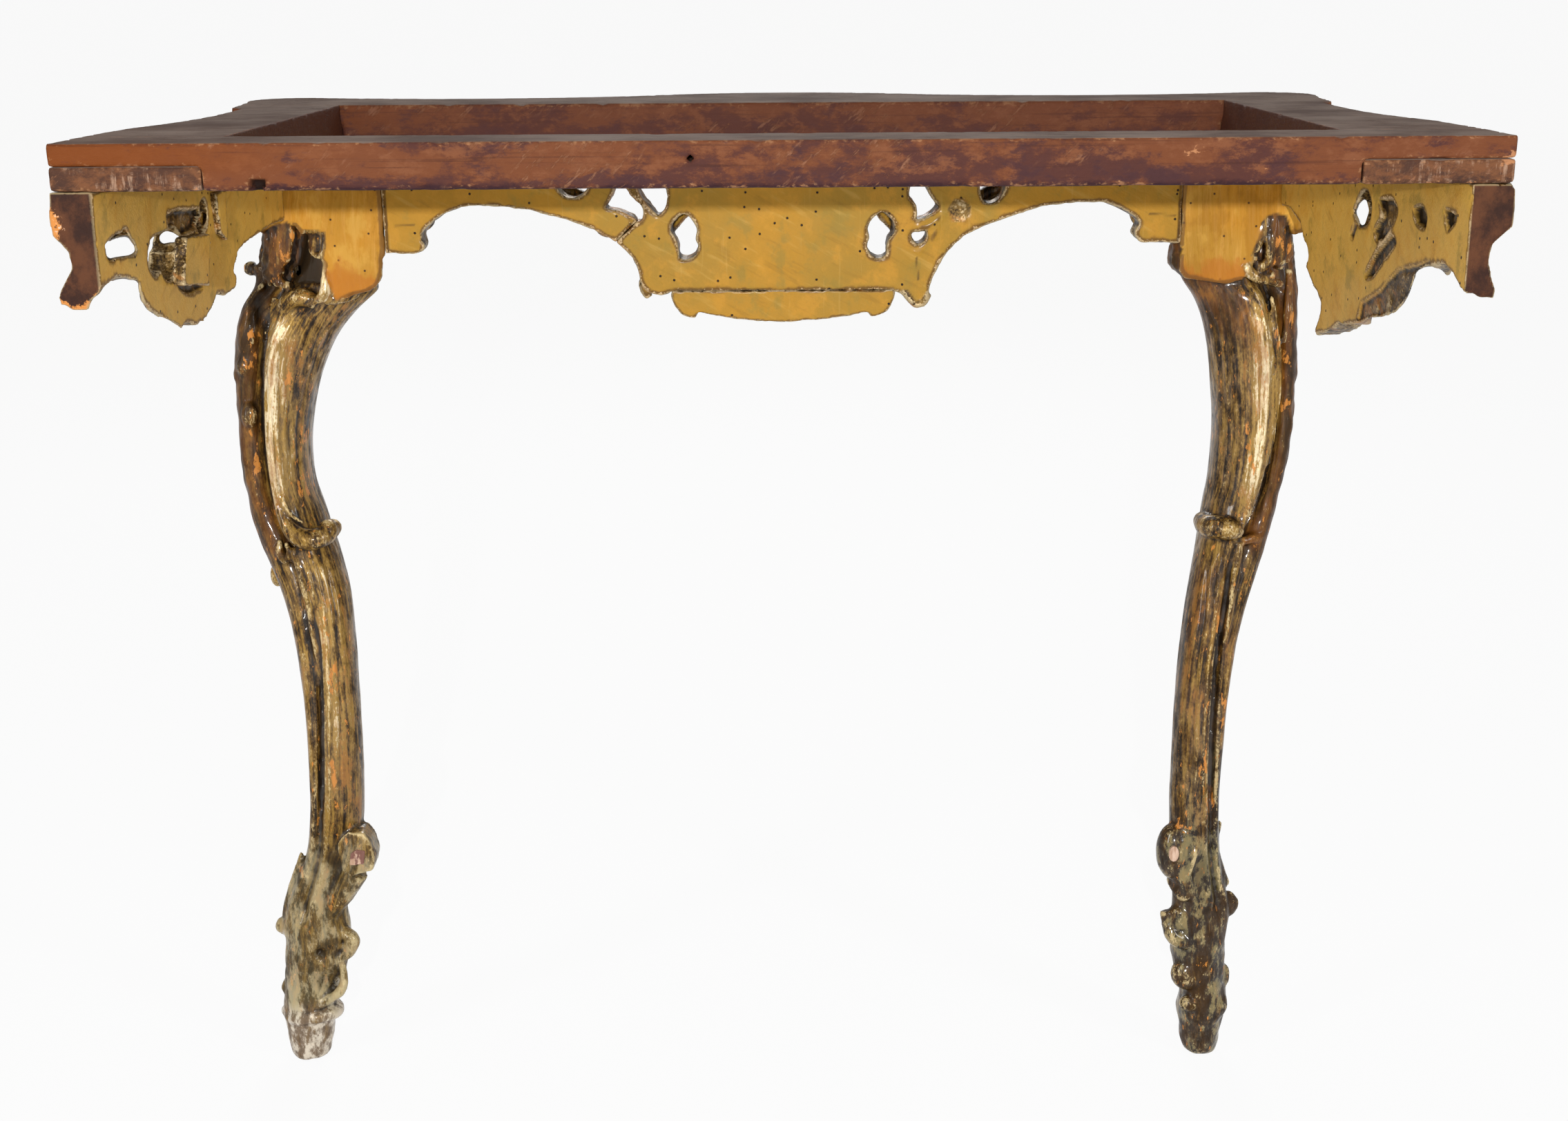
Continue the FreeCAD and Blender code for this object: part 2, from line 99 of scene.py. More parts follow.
class Tone:
    """One value among the nodes, so that sums with it can be written out as Python."""

    def __init__(self, nodes, socket):
        self.nodes = nodes
        self.socket = socket

    def sum(self, operation, first, second):
        return self.nodes.node("ShaderNodeMath", {"operation": operation}, {0: first, 1: second})

    def __add__(self, other):
        return self.sum("ADD", self, other)

    def __radd__(self, other):
        return self.sum("ADD", other, self)

    def __sub__(self, other):
        return self.sum("SUBTRACT", self, other)

    def __rsub__(self, other):
        return self.sum("SUBTRACT", other, self)

    def __mul__(self, other):
        return self.sum("MULTIPLY", self, other)

    def __gt__(self, other):
        return self.sum("GREATER_THAN", self, other)


class Nodes:
    """The nodes of a finish or of the room."""

    def __init__(self, tree):
        self.tree = tree

    def node(self, kind, settings, sockets, output=0):
        made = self.tree.nodes.new(kind)
        for name, value in settings.items():
            setattr(made, name, value)
        for key, value in sockets.items():
            if isinstance(value, Tone):
                self.tree.links.new(value.socket, made.inputs[key])
            else:
                made.inputs[key].default_value = value
        return Tone(self, made.outputs[output])

    def show_white(self, under, white, share, mirrored, output):
        """Show white to the camera and, in part, in a gloss; other light still sees what is under it."""
        seen = self.node("ShaderNodeLightPath", {}, {}, "Is Camera Ray")
        seen = seen + self.node("ShaderNodeLightPath", {}, {}, "Is Transmission Ray")
        seen = seen + self.node("ShaderNodeLightPath", {}, {}, "Is Glossy Ray") * mirrored
        sockets = {0: seen * share, 1: Tone(self, under.outputs[0]), 2: white}
        both = self.node("ShaderNodeMixShader", {}, sockets)
        self.tree.links.new(both.socket, self.tree.nodes[output].inputs["Surface"])


class Finish(Nodes):
    """A finish of the table, built up from procedural coats on one Principled shader."""

    def __init__(self, name):
        self.material = bpy.data.materials.new(name)
        self.material.use_nodes = True
        super().__init__(self.material.node_tree)
        self.shader = self.tree.nodes["Principled BSDF"]
        self.place = self.node("ShaderNodeTexCoord", {}, {}, "Object")

    def stretched(self, scale, place=None, turn=(0, 0, 0)):
        return self.node("ShaderNodeMapping", {},
                         {"Vector": place or self.place, "Scale": scale, "Rotation": turn})

    def cloud(self, scale, detail, place=None, rough=0.55):
        return self.node("ShaderNodeTexNoise", {"noise_dimensions": "3D"},
                         {"Vector": self.stretched(scale, place), "Scale": 1.0, "Detail": detail,
                          "Roughness": rough}, "Fac")

    def ramp(self, value, low, high):
        return self.node("ShaderNodeMapRange", {"interpolation_type": "SMOOTHSTEP"},
                         {"Value": value, "From Min": low, "From Max": high, "To Min": 0.0, "To Max": 1.0})

    def layers(self, colour, *coats):
        """Lay coats over a colour, each with the share that it covers and its own colour."""
        for share, coat in coats:
            sockets = {0: share}
            for key, tint in ((6, colour), (7, coat)):
                sockets[key] = tint if isinstance(tint, Tone) else (*tint, 1.0)
            colour = self.node("ShaderNodeMix", {"data_type": "RGBA"}, sockets, 2)
        return colour

    def stored(self, name, output="Fac"):
        return self.node("ShaderNodeAttribute", {"attribute_name": name}, {}, output)

    def part(self, vector, axis):
        return self.node("ShaderNodeSeparateXYZ", {}, {0: vector}, "XYZ".index(axis))

    def facing(self, axis):
        return self.part(self.node("ShaderNodeTexCoord", {}, {}, "Normal"), axis)

    def worm_holes(self, scale, output="Distance"):
        """Cells on the upright faces, whose middles are the holes."""
        across = self.part(self.place, "X") + self.part(self.place, "Y")
        face = self.node("ShaderNodeCombineXYZ", {}, {0: across, 1: self.part(self.place, "Z")})
        return self.node("ShaderNodeTexVoronoi", {"feature": "F1", "voronoi_dimensions": "2D"},
                         {"Vector": face, "Scale": scale}, output)

    def link(self, tone, socket):
        self.tree.links.new(tone.socket, self.shader.inputs[socket])

    def complete(self, colour, roughness, height, relief):
        self.link(colour, "Base Color")
        self.link(roughness, "Roughness")
        bump = self.node("ShaderNodeBump", {}, {"Height": height, "Distance": relief, "Strength": 1.0})
        self.link(bump, "Normal")
        return self.material


world = bpy.data.worlds.new("pale_room")
scene.world = world
world.use_nodes = True
room = Nodes(world.node_tree)
fill_light = room.tree.nodes["Background"]
fill_light.inputs["Color"].default_value = (1.0, 0.98, 0.95, 1)
fill_light.inputs["Strength"].default_value = 0.24
backdrop = room.node("ShaderNodeBackground", {}, {"Color": (1, 1, 1, 1), "Strength": 0.96})
room.show_white(fill_light, backdrop, 1.0, 0.25, "World Output")

floor_span = 1500.0
bpy.ops.mesh.primitive_plane_add(size=floor_span, location=(0, 0, 0))
floor = bpy.context.object
floor.name = "studio_floor"
floor_finish = Finish("white_floor")
floor_finish.shader.inputs["Base Color"].default_value = (0.72, 0.72, 0.72, 1)
floor_finish.shader.inputs["Roughness"].default_value = 0.9
glow = floor_finish.node("ShaderNodeEmission", {}, {"Color": (1, 1, 1, 1), "Strength": 1.0})
floor_finish.show_white(floor_finish.shader, glow, 0.93, 0.6, "Material Output")
floor.data.materials.append(floor_finish.material)


# The top frame is four flat boards of dark red-brown stained wood, half lapped and pegged at the corners.
# They are sawn and planed by hand, then chipped and scuffed along every edge; their tops are painted grey, as
# dust and a painted sheen.
def pick(*pieces):
    bpy.ops.object.select_all(action="DESELECT")
    for piece in pieces:
        piece.select_set(True)
    bpy.context.view_layer.objects.active = pieces[0]


def finish_modifier(piece, kind, settings):
    pick(piece)
    bpy.ops.object.modifier_add(type=kind)
    modifier = piece.modifiers[-1]
    for name, value in settings.items():
        setattr(modifier, name, value)
    bpy.ops.object.modifier_apply(modifier=modifier.name)


def cad_copy(node, name):
    """A closed mesh with the solid's shape, to be carved further."""
    piece = bpy.data.objects.new(name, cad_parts[node].data.copy())
    scene.collection.objects.link(piece)
    piece.data.materials.clear()
    pick(piece)
    bpy.ops.object.mode_set(mode="EDIT")
    bpy.ops.mesh.select_all(action="SELECT")
    bpy.ops.mesh.remove_doubles(threshold=0.00002)
    bpy.ops.object.mode_set(mode="OBJECT")
    return piece


def rasp(piece, voxel, rounds):
    """Even out the mesh, and take its hard edges off."""
    finish_modifier(piece, "REMESH", {"mode": "VOXEL", "voxel_size": voxel})
    finish_modifier(piece, "SMOOTH", {"factor": 0.5, "iterations": rounds})
    pick(piece)
    bpy.ops.object.shade_smooth()


def points_of(piece, what="co"):
    found = np.empty(len(piece.data.vertices) * 3)
    source = piece.data.vertices if what == "co" else piece.data.vertex_normals
    source.foreach_get("co" if what == "co" else "vector", found)
    return found.reshape(-1, 3)


def move_points(piece, places):
    piece.data.vertices.foreach_set("co", places.ravel())
    piece.data.update()


def push_out(piece, amounts):
    """Move each point along its normal by its own amount, and keep it inside the table's box."""
    moved = points_of(piece) + points_of(piece, "normal") * amounts[:, None]
    margin = 0.2 * MM
    low = np.array(cad_box[0]) + [margin, margin, 0]
    move_points(piece, np.clip(moved, low, np.array(cad_box[1]) - margin))


def lumps(places, size, seed):
    """Uneven hand work: smooth noise with lumps of about this size, from -1 to 1."""
    return np.array([noise.noise(Vector(place) / size + Vector((seed, seed, seed))) for place in places])


def store(piece, name, values, kind="FLOAT"):
    made = piece.data.attributes.new(name, kind, "POINT")
    made.data.foreach_set("value" if kind == "FLOAT" else "vector", values.astype(np.float32).ravel())


def edge_share(piece, rounds, span):
    """How far each point stands out of its surroundings: edges come near 1, hollows near -1."""
    places = points_of(piece)
    pairs = np.empty(len(piece.data.edges) * 2, np.int64)
    piece.data.edges.foreach_get("vertices", pairs)
    pairs = pairs.reshape(-1, 2)
    first = np.concatenate([pairs[:, 0], pairs[:, 1]])
    second = np.concatenate([pairs[:, 1], pairs[:, 0]])
    number = np.maximum(np.bincount(first, minlength=len(places)), 1)
    around = places
    for turn in range(rounds):
        sums = [np.bincount(first, around[second, axis], len(places)) for axis in range(3)]
        around = np.stack(sums, 1) / number[:, None]
    out = ((places - around) * points_of(piece, "normal")).sum(1)
    return np.clip(out / span, -1, 1)


# The stain is red brown, orange towards the left end, and scuffed in slanting strokes
stain = Finish("stained_wood")
cloudy = stain.cloud((15, 15, 34), 5)
patches = stain.cloud((44, 44, 75), 8, rough=0.74)
blots = stain.cloud((23, 60, 46), 7, rough=0.7)
grain = stain.cloud((10, 110, 420), 6)
fine = stain.cloud((300, 300, 420), 3)
uneven = patches - 0.5
height = stain.part(stain.place, "Z")
raised = stain.ramp(height, 0.850, 0.866)
leftward = stain.ramp(stain.part(stain.place, "X") + uneven * 0.2, 0.22, 0.40)
lower_edge = 1 - stain.ramp(height + uneven * 0.012 + (blots - 0.5) * 0.014, 0.8480, 0.8520)
slanting = stain.stretched((1, 1, 1), turn=(0, 0.8, 0))
scuffed = stain.ramp(stain.cloud((240, 200, 60), 7, slanting, 0.7), 0.53, 0.64)
scuffed = scuffed * stain.ramp(stain.cloud((18, 18, 30), 4), 0.46, 0.60)
scraped = stain.ramp(stain.cloud((300, 300, 42), 6, rough=0.65), 0.48, 0.60) * stain.ramp(blots, 0.46, 0.58)
rubbed = stain.ramp(stain.stored("edge") * 0.6 + uneven * 2.0 + (fine - 0.5) * 1.8, 0.56, 0.92)
bared = stain.ramp(stain.stored("knocked") * 0.5 + uneven * 1.6 + (fine - 0.5) * 1.4, 0.42, 0.56)
sideways_facing_shade = stain.facing("X")
# Towards the front the rails are darkened: painted shade
inside = 1 - stain.ramp(stain.part(stain.place, "Y"), 0.10, 0.14)
top = stain.ramp(stain.facing("Z"), 0.7, 0.95)
lap_wood = stain.layers((0.055, 0.028, 0.020),
                        (stain.ramp(patches, 0.40, 0.60), (0.160, 0.066, 0.030)),
                        (scraped * 0.7, (0.42, 0.27, 0.18)))
# The up-facing tops are painted grey: dust and a painted sheen
grey_top_mottle = stain.ramp(cloudy * 0.6 + patches * 0.25 + grain * 0.15, 0.36, 0.64)
dust_and_sheen = stain.layers((0.115, 0.076, 0.060), (grey_top_mottle, (0.290, 0.228, 0.190)))
red_brown = stain.ramp(cloudy * 0.55 + patches * 0.45 + raised * 0.05 + leftward * 0.05, 0.455, 0.545)
brown = stain.layers(
    (0.076, 0.027, 0.021),
    (red_brown, (0.150, 0.049, 0.020)),
    (stain.ramp(patches + raised * 0.05, 0.53, 0.66) * 0.60, (0.205, 0.078, 0.036)),
    (leftward * raised * 0.75, (0.175, 0.045, 0.007)),
    (stain.ramp(blots - raised * 0.05 - leftward * 0.03, 0.495, 0.59) * 0.75, (0.052, 0.022, 0.025)),
    (stain.ramp(grain, 0.58, 0.70) * 0.45, (0.045, 0.016, 0.012)),
    (lower_edge * 0.85, (0.030, 0.013, 0.018)),
    (stain.stored("lap") * 0.9, lap_wood),
    (rubbed * 0.6, (0.36, 0.18, 0.085)),
    (scuffed * 0.55, (0.31, 0.145, 0.080)),
    # Faces turned sideways are darkened: painted shade
    (stain.ramp(sideways_facing_shade * sideways_facing_shade, 0.5, 0.8) * 0.75, (0.034, 0.013, 0.008)),
    # The notch is painted near black: painted shade in its depth
    (stain.stored("notch") * 0.95, (0.008, 0.004, 0.003)),
    (bared * 0.85, (0.44, 0.200, 0.090)),
    # Painted shade towards the front
    (inside * 0.5, (0.062, 0.020, 0.012)),
    (top * 0.85, dust_and_sheen),
)
stained_wood = stain.complete(brown, 0.40 + patches * 0.30 + top * 0.22,
                              patches * 0.8 + fine * 0.25 - grain * 0.4 + scuffed * 0.2, 0.0013)
stain.shader.inputs["Specular IOR Level"].default_value = 0.08


def smooth_step(values, low, high):
    share = np.clip((values - low) / (high - low), 0, 1)
    return share * share * (3 - 2 * share)


def between(values, rise, full, fall, gone):
    """1 between two values, with a soft rise before them and a soft fall after them."""
    return smooth_step(values, rise, full) * (1 - smooth_step(values, fall, gone))


def bell(values, wide):
    return np.exp(-(values / wide) ** 2)


def oval(places, x, z, wide, high):
    """1 at one place and falling off around it in an oval; all as (across, up)."""
    return bell(np.hypot((places[:, 0] - x) / wide, (places[:, 1] - z) / high), 1.0)


def line_gap(places, line):
    """Distance of points from a run of points, all as (across, up)."""
    best = np.full(len(places), 1e9)
    for start, end in zip(line, line[1:]):
        a, b = np.array(start, float), np.array(end, float)
        way = b - a
        share = np.clip(((places - a) @ way) / max(way @ way, 1e-9), 0, 1)
        best = np.minimum(best, np.hypot(*(places - a - share[:, None] * way).T))
    return best


def within(places, outline, soft):
    """1 inside a closed outline and 0 outside, with a soft edge; all as (across, up)."""
    inside = np.zeros(len(places), bool)
    loop = outline + outline[:1]
    for (x0, z0), (x1, z1) in zip(loop, loop[1:]):
        crossed = (z0 > places[:, 1]) != (z1 > places[:, 1])
        inside ^= crossed & (places[:, 0] < x0 + (places[:, 1] - z0) * (x1 - x0) / ((z1 - z0) or 1.0))
    gap = line_gap(places, loop)
    return smooth_step(np.where(inside, gap, -gap), -soft / 2, soft / 2)


# A small notch is cut in the rear face near the left leg, as (across, up)
notch_outline = [(319, 855), (310, 854.5), (310.5, 850), (312.5, 849.5), (313, 843), (317.5, 843),
                 (317.5, 850), (319.5, 850.5)]
notch_depth = 6 * MM
# Places knocked down to bare wood: across, up, half width and half height
knocked_places = [(441, 868, 6, 7), (441, 848, 4, 6), (-434, 862, 9, 3.5), (-440, 866, 4, 6),
                  (-246, 869, 7, 3), (-400, 849, 26, 1.5), (352, 849, 2, 5)]

for node, voxel in (("back_rail", 1.8), ("front_rail", 2.4), ("left_rail", 1.8), ("right_rail", 1.8)):
    rail = cad_copy(node, node + "_board")
    rasp(rail, voxel * MM, 2)
    edges = edge_share(rail, 5, 1.0 * MM)
    places = points_of(rail)
    chips = np.clip(lumps(places, 9 * MM, 3.0) * 2.4 - 0.7, 0, 1) * np.clip(edges, 0, 1)
    wavy = 0.35 * lumps(places, 40 * MM, 9.0) + 0.2 * lumps(places, 11 * MM, 4.0)
    push_out(rail, (wavy - 1.6 * chips) * MM)
    places = points_of(rail)
    seen = np.stack([(places[:, 0] - middle_x) / MM, places[:, 2] / MM], 1)
    rear = smooth_step(places[:, 1], 0.240, 0.246)
    notch = within(seen, notch_outline, 1.5) * rear * (node == "back_rail")
    places[:, 1] -= notch_depth * notch
    move_points(rail, places)
    knocked = sum(oval(seen, *place) for place in knocked_places)
    store(rail, "notch", notch)
    store(rail, "lap", rear * (node in ("left_rail", "right_rail")))
    store(rail, "knocked", np.clip(knocked, 0, 1) * rear)
    store(rail, "edge", edge_share(rail, 5, 1.0 * MM))
    rail.data.materials.append(stained_wood)
    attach(rail, "root")
    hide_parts(node)

# Bare wood on pegs and plugs, redder on the left leg's plug
bare = Finish("bare_wood")
bare_grain = bare.cloud((500, 500, 60), 4)
redder = bare.ramp(bare.part(bare.place, "X"), -0.1, 0.1)
redder = redder * bare.ramp(bare.cloud((170, 170, 90), 4), 0.44, 0.52)
bare_colour = bare.layers((0.42, 0.25, 0.16),
                          (bare.ramp(bare_grain, 0.35, 0.65), (0.66, 0.46, 0.34)),
                          (redder * 0.85, (0.13, 0.035, 0.028)))
bare_wood = bare.complete(bare_colour, 0.6 + bare_grain * 0.2, bare_grain, 0.0004)
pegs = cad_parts["lap_pegs"]
pegs.data.materials.clear()
pegs.data.materials.append(bare_wood)


# Each leg is carved from one piece of wood with its block: a fluted body with a leafy band along its outer
# side, a rolled collar at the knee's foot, and a gnarled foot with the sawn root of a stretcher.
# It is gilded over gesso, now worn to a dark glossy olive brown; the block's flat rear is painted ochre.
leg_rows = [
    # height, left inner, left outer, right inner, right outer, middle depth, half depth
    (0, 431, 461, 372, 398, -166, 14),
    (5, 427, 465, 368, 402, -166, 18),
    (24, 424, 466, 366, 404, -166, 20),
    (38, 421, 467, 364, 405, -165, 21),
    (45, 417, 469, 362, 408, -165, 24),
    (62, 419, 466, 366, 407, -164, 23),
    (84, 408, 464, 358, 403, -163, 24),
    (112, 402, 460, 351, 401, -160, 24),
    (128, 399, 459, 352, 402, -158, 23),
    (145, 399, 460, 351, 404, -157, 21),
    (160, 402, 456, 352, 402, -156, 20),
    (180, 398, 446, 348, 396, -155, 19),
    (200, 390, 437, 347, 391, -154, 19),
    (222, 382, 429, 345, 388, -153, 20),
    (260, 376, 424, 342, 386, -151, 23),
    (310, 375, 423, 343, 387, -151, 24.5),
    (350, 375, 423, 343, 389, -154, 24.5),
    (400, 377, 428, 347, 395, -161, 25.5),
    (430, 379, 434, 351, 402, -167, 26.5),
    (455, 382, 441, 355, 410, -173, 28),
    (480, 389, 452, 361, 419, -179, 31),
    (500, 396, 460, 364, 425, -184, 34),
    (516, 401, 465, 366, 429, -188, 36),
    (530, 406, 468, 369, 431, -191, 37),
    (547, 411, 470, 371, 434, -189, 37),
    (570, 412, 472, 372, 438, -189, 38),
    (600, 411, 472, 373, 441, -192, 39),
    (640, 401, 471.5, 369, 441, -194, 41),
    (665, 390, 470, 365, 440, -193, 42),
    (685, 378, 467, 360, 439, -191, 41),
    (700, 364, 463, 354, 439, -192, 38),
    (712, 350, 455, 347, 438, -190, 34),
    (722, 338, 448, 338, 436, -188, 27),
    (740, 334, 444, 332, 434, -188, 22),
    (772, 333, 438, 330, 428, -188, 20),
    (802, 331, 430, 330, 424, -186, 20),
]
# The body's section, from the inner side round the rear: outward and rearward shares
leg_section = [
    (-1.00, 0.00), (-0.98, 0.26), (-0.90, 0.46), (-0.76, 0.62), (-0.56, 0.76), (-0.30, 0.89), (-0.02, 0.98),
    (0.16, 1.00), (0.29, 0.92), (0.36, 0.68), (0.41, 0.40), (0.47, 0.40), (0.58, 0.56), (0.73, 0.62),
    (0.88, 0.52), (0.98, 0.24), (1.00, -0.06), (0.94, -0.40), (0.80, -0.65), (0.62, -0.74), (0.48, -0.66),
    (0.34, -0.76), (0.15, -0.93), (-0.15, -0.98), (-0.45, -0.94), (-0.72, -0.77), (-0.90, -0.50),
    (-0.98, -0.24),
]
groove_share = 0.41
# Below this height the leg has no groove and its rear is round
round_foot_top = 150
# The deep groove between body and leafy band: height and place across, left leg and right leg
groove_rows = {
    1: [(0, 448), (140, 440), (217, 416), (270, 410), (350, 405), (409, 405), (448, 407), (480, 413),
        (498, 422), (514, 434), (530, 440), (556, 443), (595, 445), (655, 442), (682, 437), (714, 424),
        (740, 404), (800, 390)],
    -1: [(0, 390), (150, 390), (224, 377), (285, 374), (345, 373), (397, 375), (433, 380), (476, 383),
         (500, 392), (516, 402), (535, 410), (571, 416), (611, 419), (651, 418), (689, 413), (724, 402),
         (740, 398), (800, 390)],
}


def leg_row(height, side):
    """Middle, half width, depth and half depth of the leg body at heights in millimetres."""
    table = np.array(leg_rows, float)
    inner, outer = (1, 2) if side > 0 else (3, 4)
    low = np.interp(height, table[:, 0], table[:, inner])
    high = np.interp(height, table[:, 0], table[:, outer])
    depth = np.interp(height, table[:, 0], table[:, 5])
    return side * (low + high) / 2, (high - low) / 2, depth, np.interp(height, table[:, 0], table[:, 6])


def groove_at(height, side):
    table = np.array(groove_rows[side], float)
    return np.interp(height, table[:, 0], table[:, 1])


def on_leg(side, height, outward, rearward):
    """A point of the leg at a height, by its outward and rearward shares."""
    middle, half, depth, deep = leg_row(height, side)
    across = middle + side * outward * half
    return Vector((middle_x + across * MM, (depth + rearward * deep) * MM, height * MM))


def leg_body(side, name):
    """Draw one ring for the sole, extrude it up the leg row by row, and lead the groove up the leg."""
    bpy.ops.mesh.primitive_circle_add(vertices=len(leg_section), radius=1.0, fill_type="NGON")
    body = bpy.context.object
    body.name = name
    for vertex, (outward, rearward) in zip(body.data.vertices, leg_section):
        vertex.co = on_leg(side, 0, outward, rearward)
    bpy.ops.object.mode_set(mode="EDIT")
    bpy.ops.mesh.select_all(action="SELECT")
    last = leg_row(0, side)
    low = 0
    for row in leg_rows[1:]:
        this = leg_row(row[0], side)
        step = Vector((this[0] - last[0], this[2] - last[2], row[0] - low)) * MM
        bpy.ops.mesh.extrude_region_move(TRANSFORM_OT_translate={"value": step})
        centre = on_leg(side, row[0], 0, 0)
        bpy.ops.transform.resize(value=(this[1] / last[1], this[3] / last[3], 1), center_override=centre)
        last = this
        low = row[0]
    bpy.ops.mesh.select_all(action="SELECT")
    bpy.ops.mesh.normals_make_consistent(inside=False)
    bpy.ops.object.mode_set(mode="OBJECT")
    for vertex in body.data.vertices:
        middle, half, depth, deep = leg_row(vertex.co.z / MM, side)
        share = ((vertex.co.x - middle_x) / MM - middle) * side / half
        wished = (groove_at(vertex.co.z / MM, side) - side * middle) / half
        if share < groove_share:
            share = -1 + (share + 1) * (wished + 1) / (groove_share + 1)
        else:
            share = 1 - (1 - share) * (1 - wished) / (1 - groove_share)
        vertex.co.x = middle_x + (middle + side * share * half) * MM
        if vertex.co.z < round_foot_top * MM and vertex.co.y > depth * MM:
            vertex.co.y = (depth + deep * math.sqrt(max(1 - share * share, 0.0))) * MM
    finish_modifier(body, "SUBSURF", {"levels": 2, "render_levels": 2})
    return body


def ridge(points):
    """A tapering roll of carving through points in metres, each with its radius in millimetres."""
    curve = bpy.data.curves.new("roll", "CURVE")
    curve.dimensions = "3D"
    curve.bevel_depth = MM
    curve.bevel_resolution = 3
    curve.use_fill_caps = True
    line = curve.splines.new("NURBS")
    line.points.add(len(points) - 1)
    for knot, (place, radius) in zip(line.points, points):
        knot.co = (*place, 1.0)
        knot.radius = radius
    line.use_endpoint_u = True
    line.order_u = 3
    line.resolution_u = 8
    made = bpy.data.objects.new("roll", curve)
    scene.collection.objects.link(made)
    pick(made)
    bpy.ops.object.convert(target="MESH")
    return bpy.context.object


def ball(place, radii):
    bpy.ops.mesh.primitive_uv_sphere_add(segments=24, ring_count=16, radius=1.0, location=place)
    made = bpy.context.object
    made.scale = [radius * MM for radius in radii]
    bpy.ops.object.transform_apply(location=True, rotation=True, scale=True)
    return made


def spot(x, y, z):
    """A point by its millimetres from the frame's middle plane, the table's middle depth and the floor."""
    return Vector((middle_x + x * MM, y * MM, z * MM))


def prism(corners, way):
    """A closed piece: the face through these corners, drawn out along a way in metres."""
    bpy.ops.mesh.primitive_circle_add(vertices=len(corners), radius=1.0, fill_type="NGON")
    made = bpy.context.object
    for vertex, corner in zip(made.data.vertices, corners):
        vertex.co = corner
    bpy.ops.object.mode_set(mode="EDIT")
    bpy.ops.mesh.select_all(action="SELECT")
    bpy.ops.mesh.extrude_region_move(TRANSFORM_OT_translate={"value": way})
    bpy.ops.mesh.select_all(action="SELECT")
    bpy.ops.mesh.normals_make_consistent(inside=False)
    bpy.ops.object.mode_set(mode="OBJECT")
    return made


def slab(outline, rear, front):
    """A flat piece with this outline, as (across, up), between two depths."""
    return prism([spot(x, rear, z) for x, z in outline], (0, (front - rear) * MM, 0))


def rolls_of(side, rows):
    """Rolls whose points are given as distance outwards, depth, height and radius."""
    return [ridge([(spot(side * x, y, z), r) for x, y, z, r in row]) for row in rows]


def balls_of(side, rows):
    return [ball(spot(side * x, y, z), (rx, ry, rz)) for x, y, z, rx, ry, rz in rows]


def front_leaves(side):
    """Leaves on the knee's front, given as height, outward share, rearward share and radius."""
    rows = [
        [(800, 0.0, -0.90, 9), (760, 0.02, -1.05, 11), (700, 0.05, -1.02, 10), (640, 0.0, -0.98, 6),
         (600, 0.0, -0.95, 2)],
        [(790, 0.2, -0.85, 6), (740, 0.42, -0.90, 8), (690, 0.52, -0.78, 7), (650, 0.40, -0.80, 3)],
        [(790, -0.2, -0.85, 6), (740, -0.42, -0.95, 8), (690, -0.50, -0.90, 7), (650, -0.40, -0.92, 3)],
        [(720, 0.15, -1.0, 4), (670, 0.30, -0.95, 6), (620, 0.28, -0.85, 4), (590, 0.15, -0.9, 2)],
        [(720, -0.15, -1.0, 4), (670, -0.30, -0.98, 6), (620, -0.28, -0.96, 4), (590, -0.15, -0.95, 2)],
        [(560, 0.0, -0.95, 2), (520, 0.12, -1.02, 5), (480, 0.1, -1.0, 4), (440, 0.0, -0.95, 2)],
        [(560, -0.1, -0.95, 2), (520, -0.25, -0.98, 5), (480, -0.22, -0.97, 4), (440, -0.1, -0.95, 2)],
        [(716, 0.55, -0.55, 2), (690, 0.86, -0.45, 6), (655, 0.90, -0.40, 5), (625, 0.72, -0.50, 2)],
        [(630, 0.74, -0.55, 2), (600, 0.92, -0.42, 5.5), (565, 0.90, -0.35, 4.5), (535, 0.76, -0.45, 2)],
        [(120, 0.9, -0.3, 3), (96, 0.7, -0.7, 5), (76, 0.2, -1.0, 5), (84, -0.4, -0.95, 4),
         (110, -0.7, -0.6, 2.5)],
    ]
    return [ridge([(on_leg(side, z, outward, rearward), radius) for z, outward, rearward, radius in row])
            for row in rows]


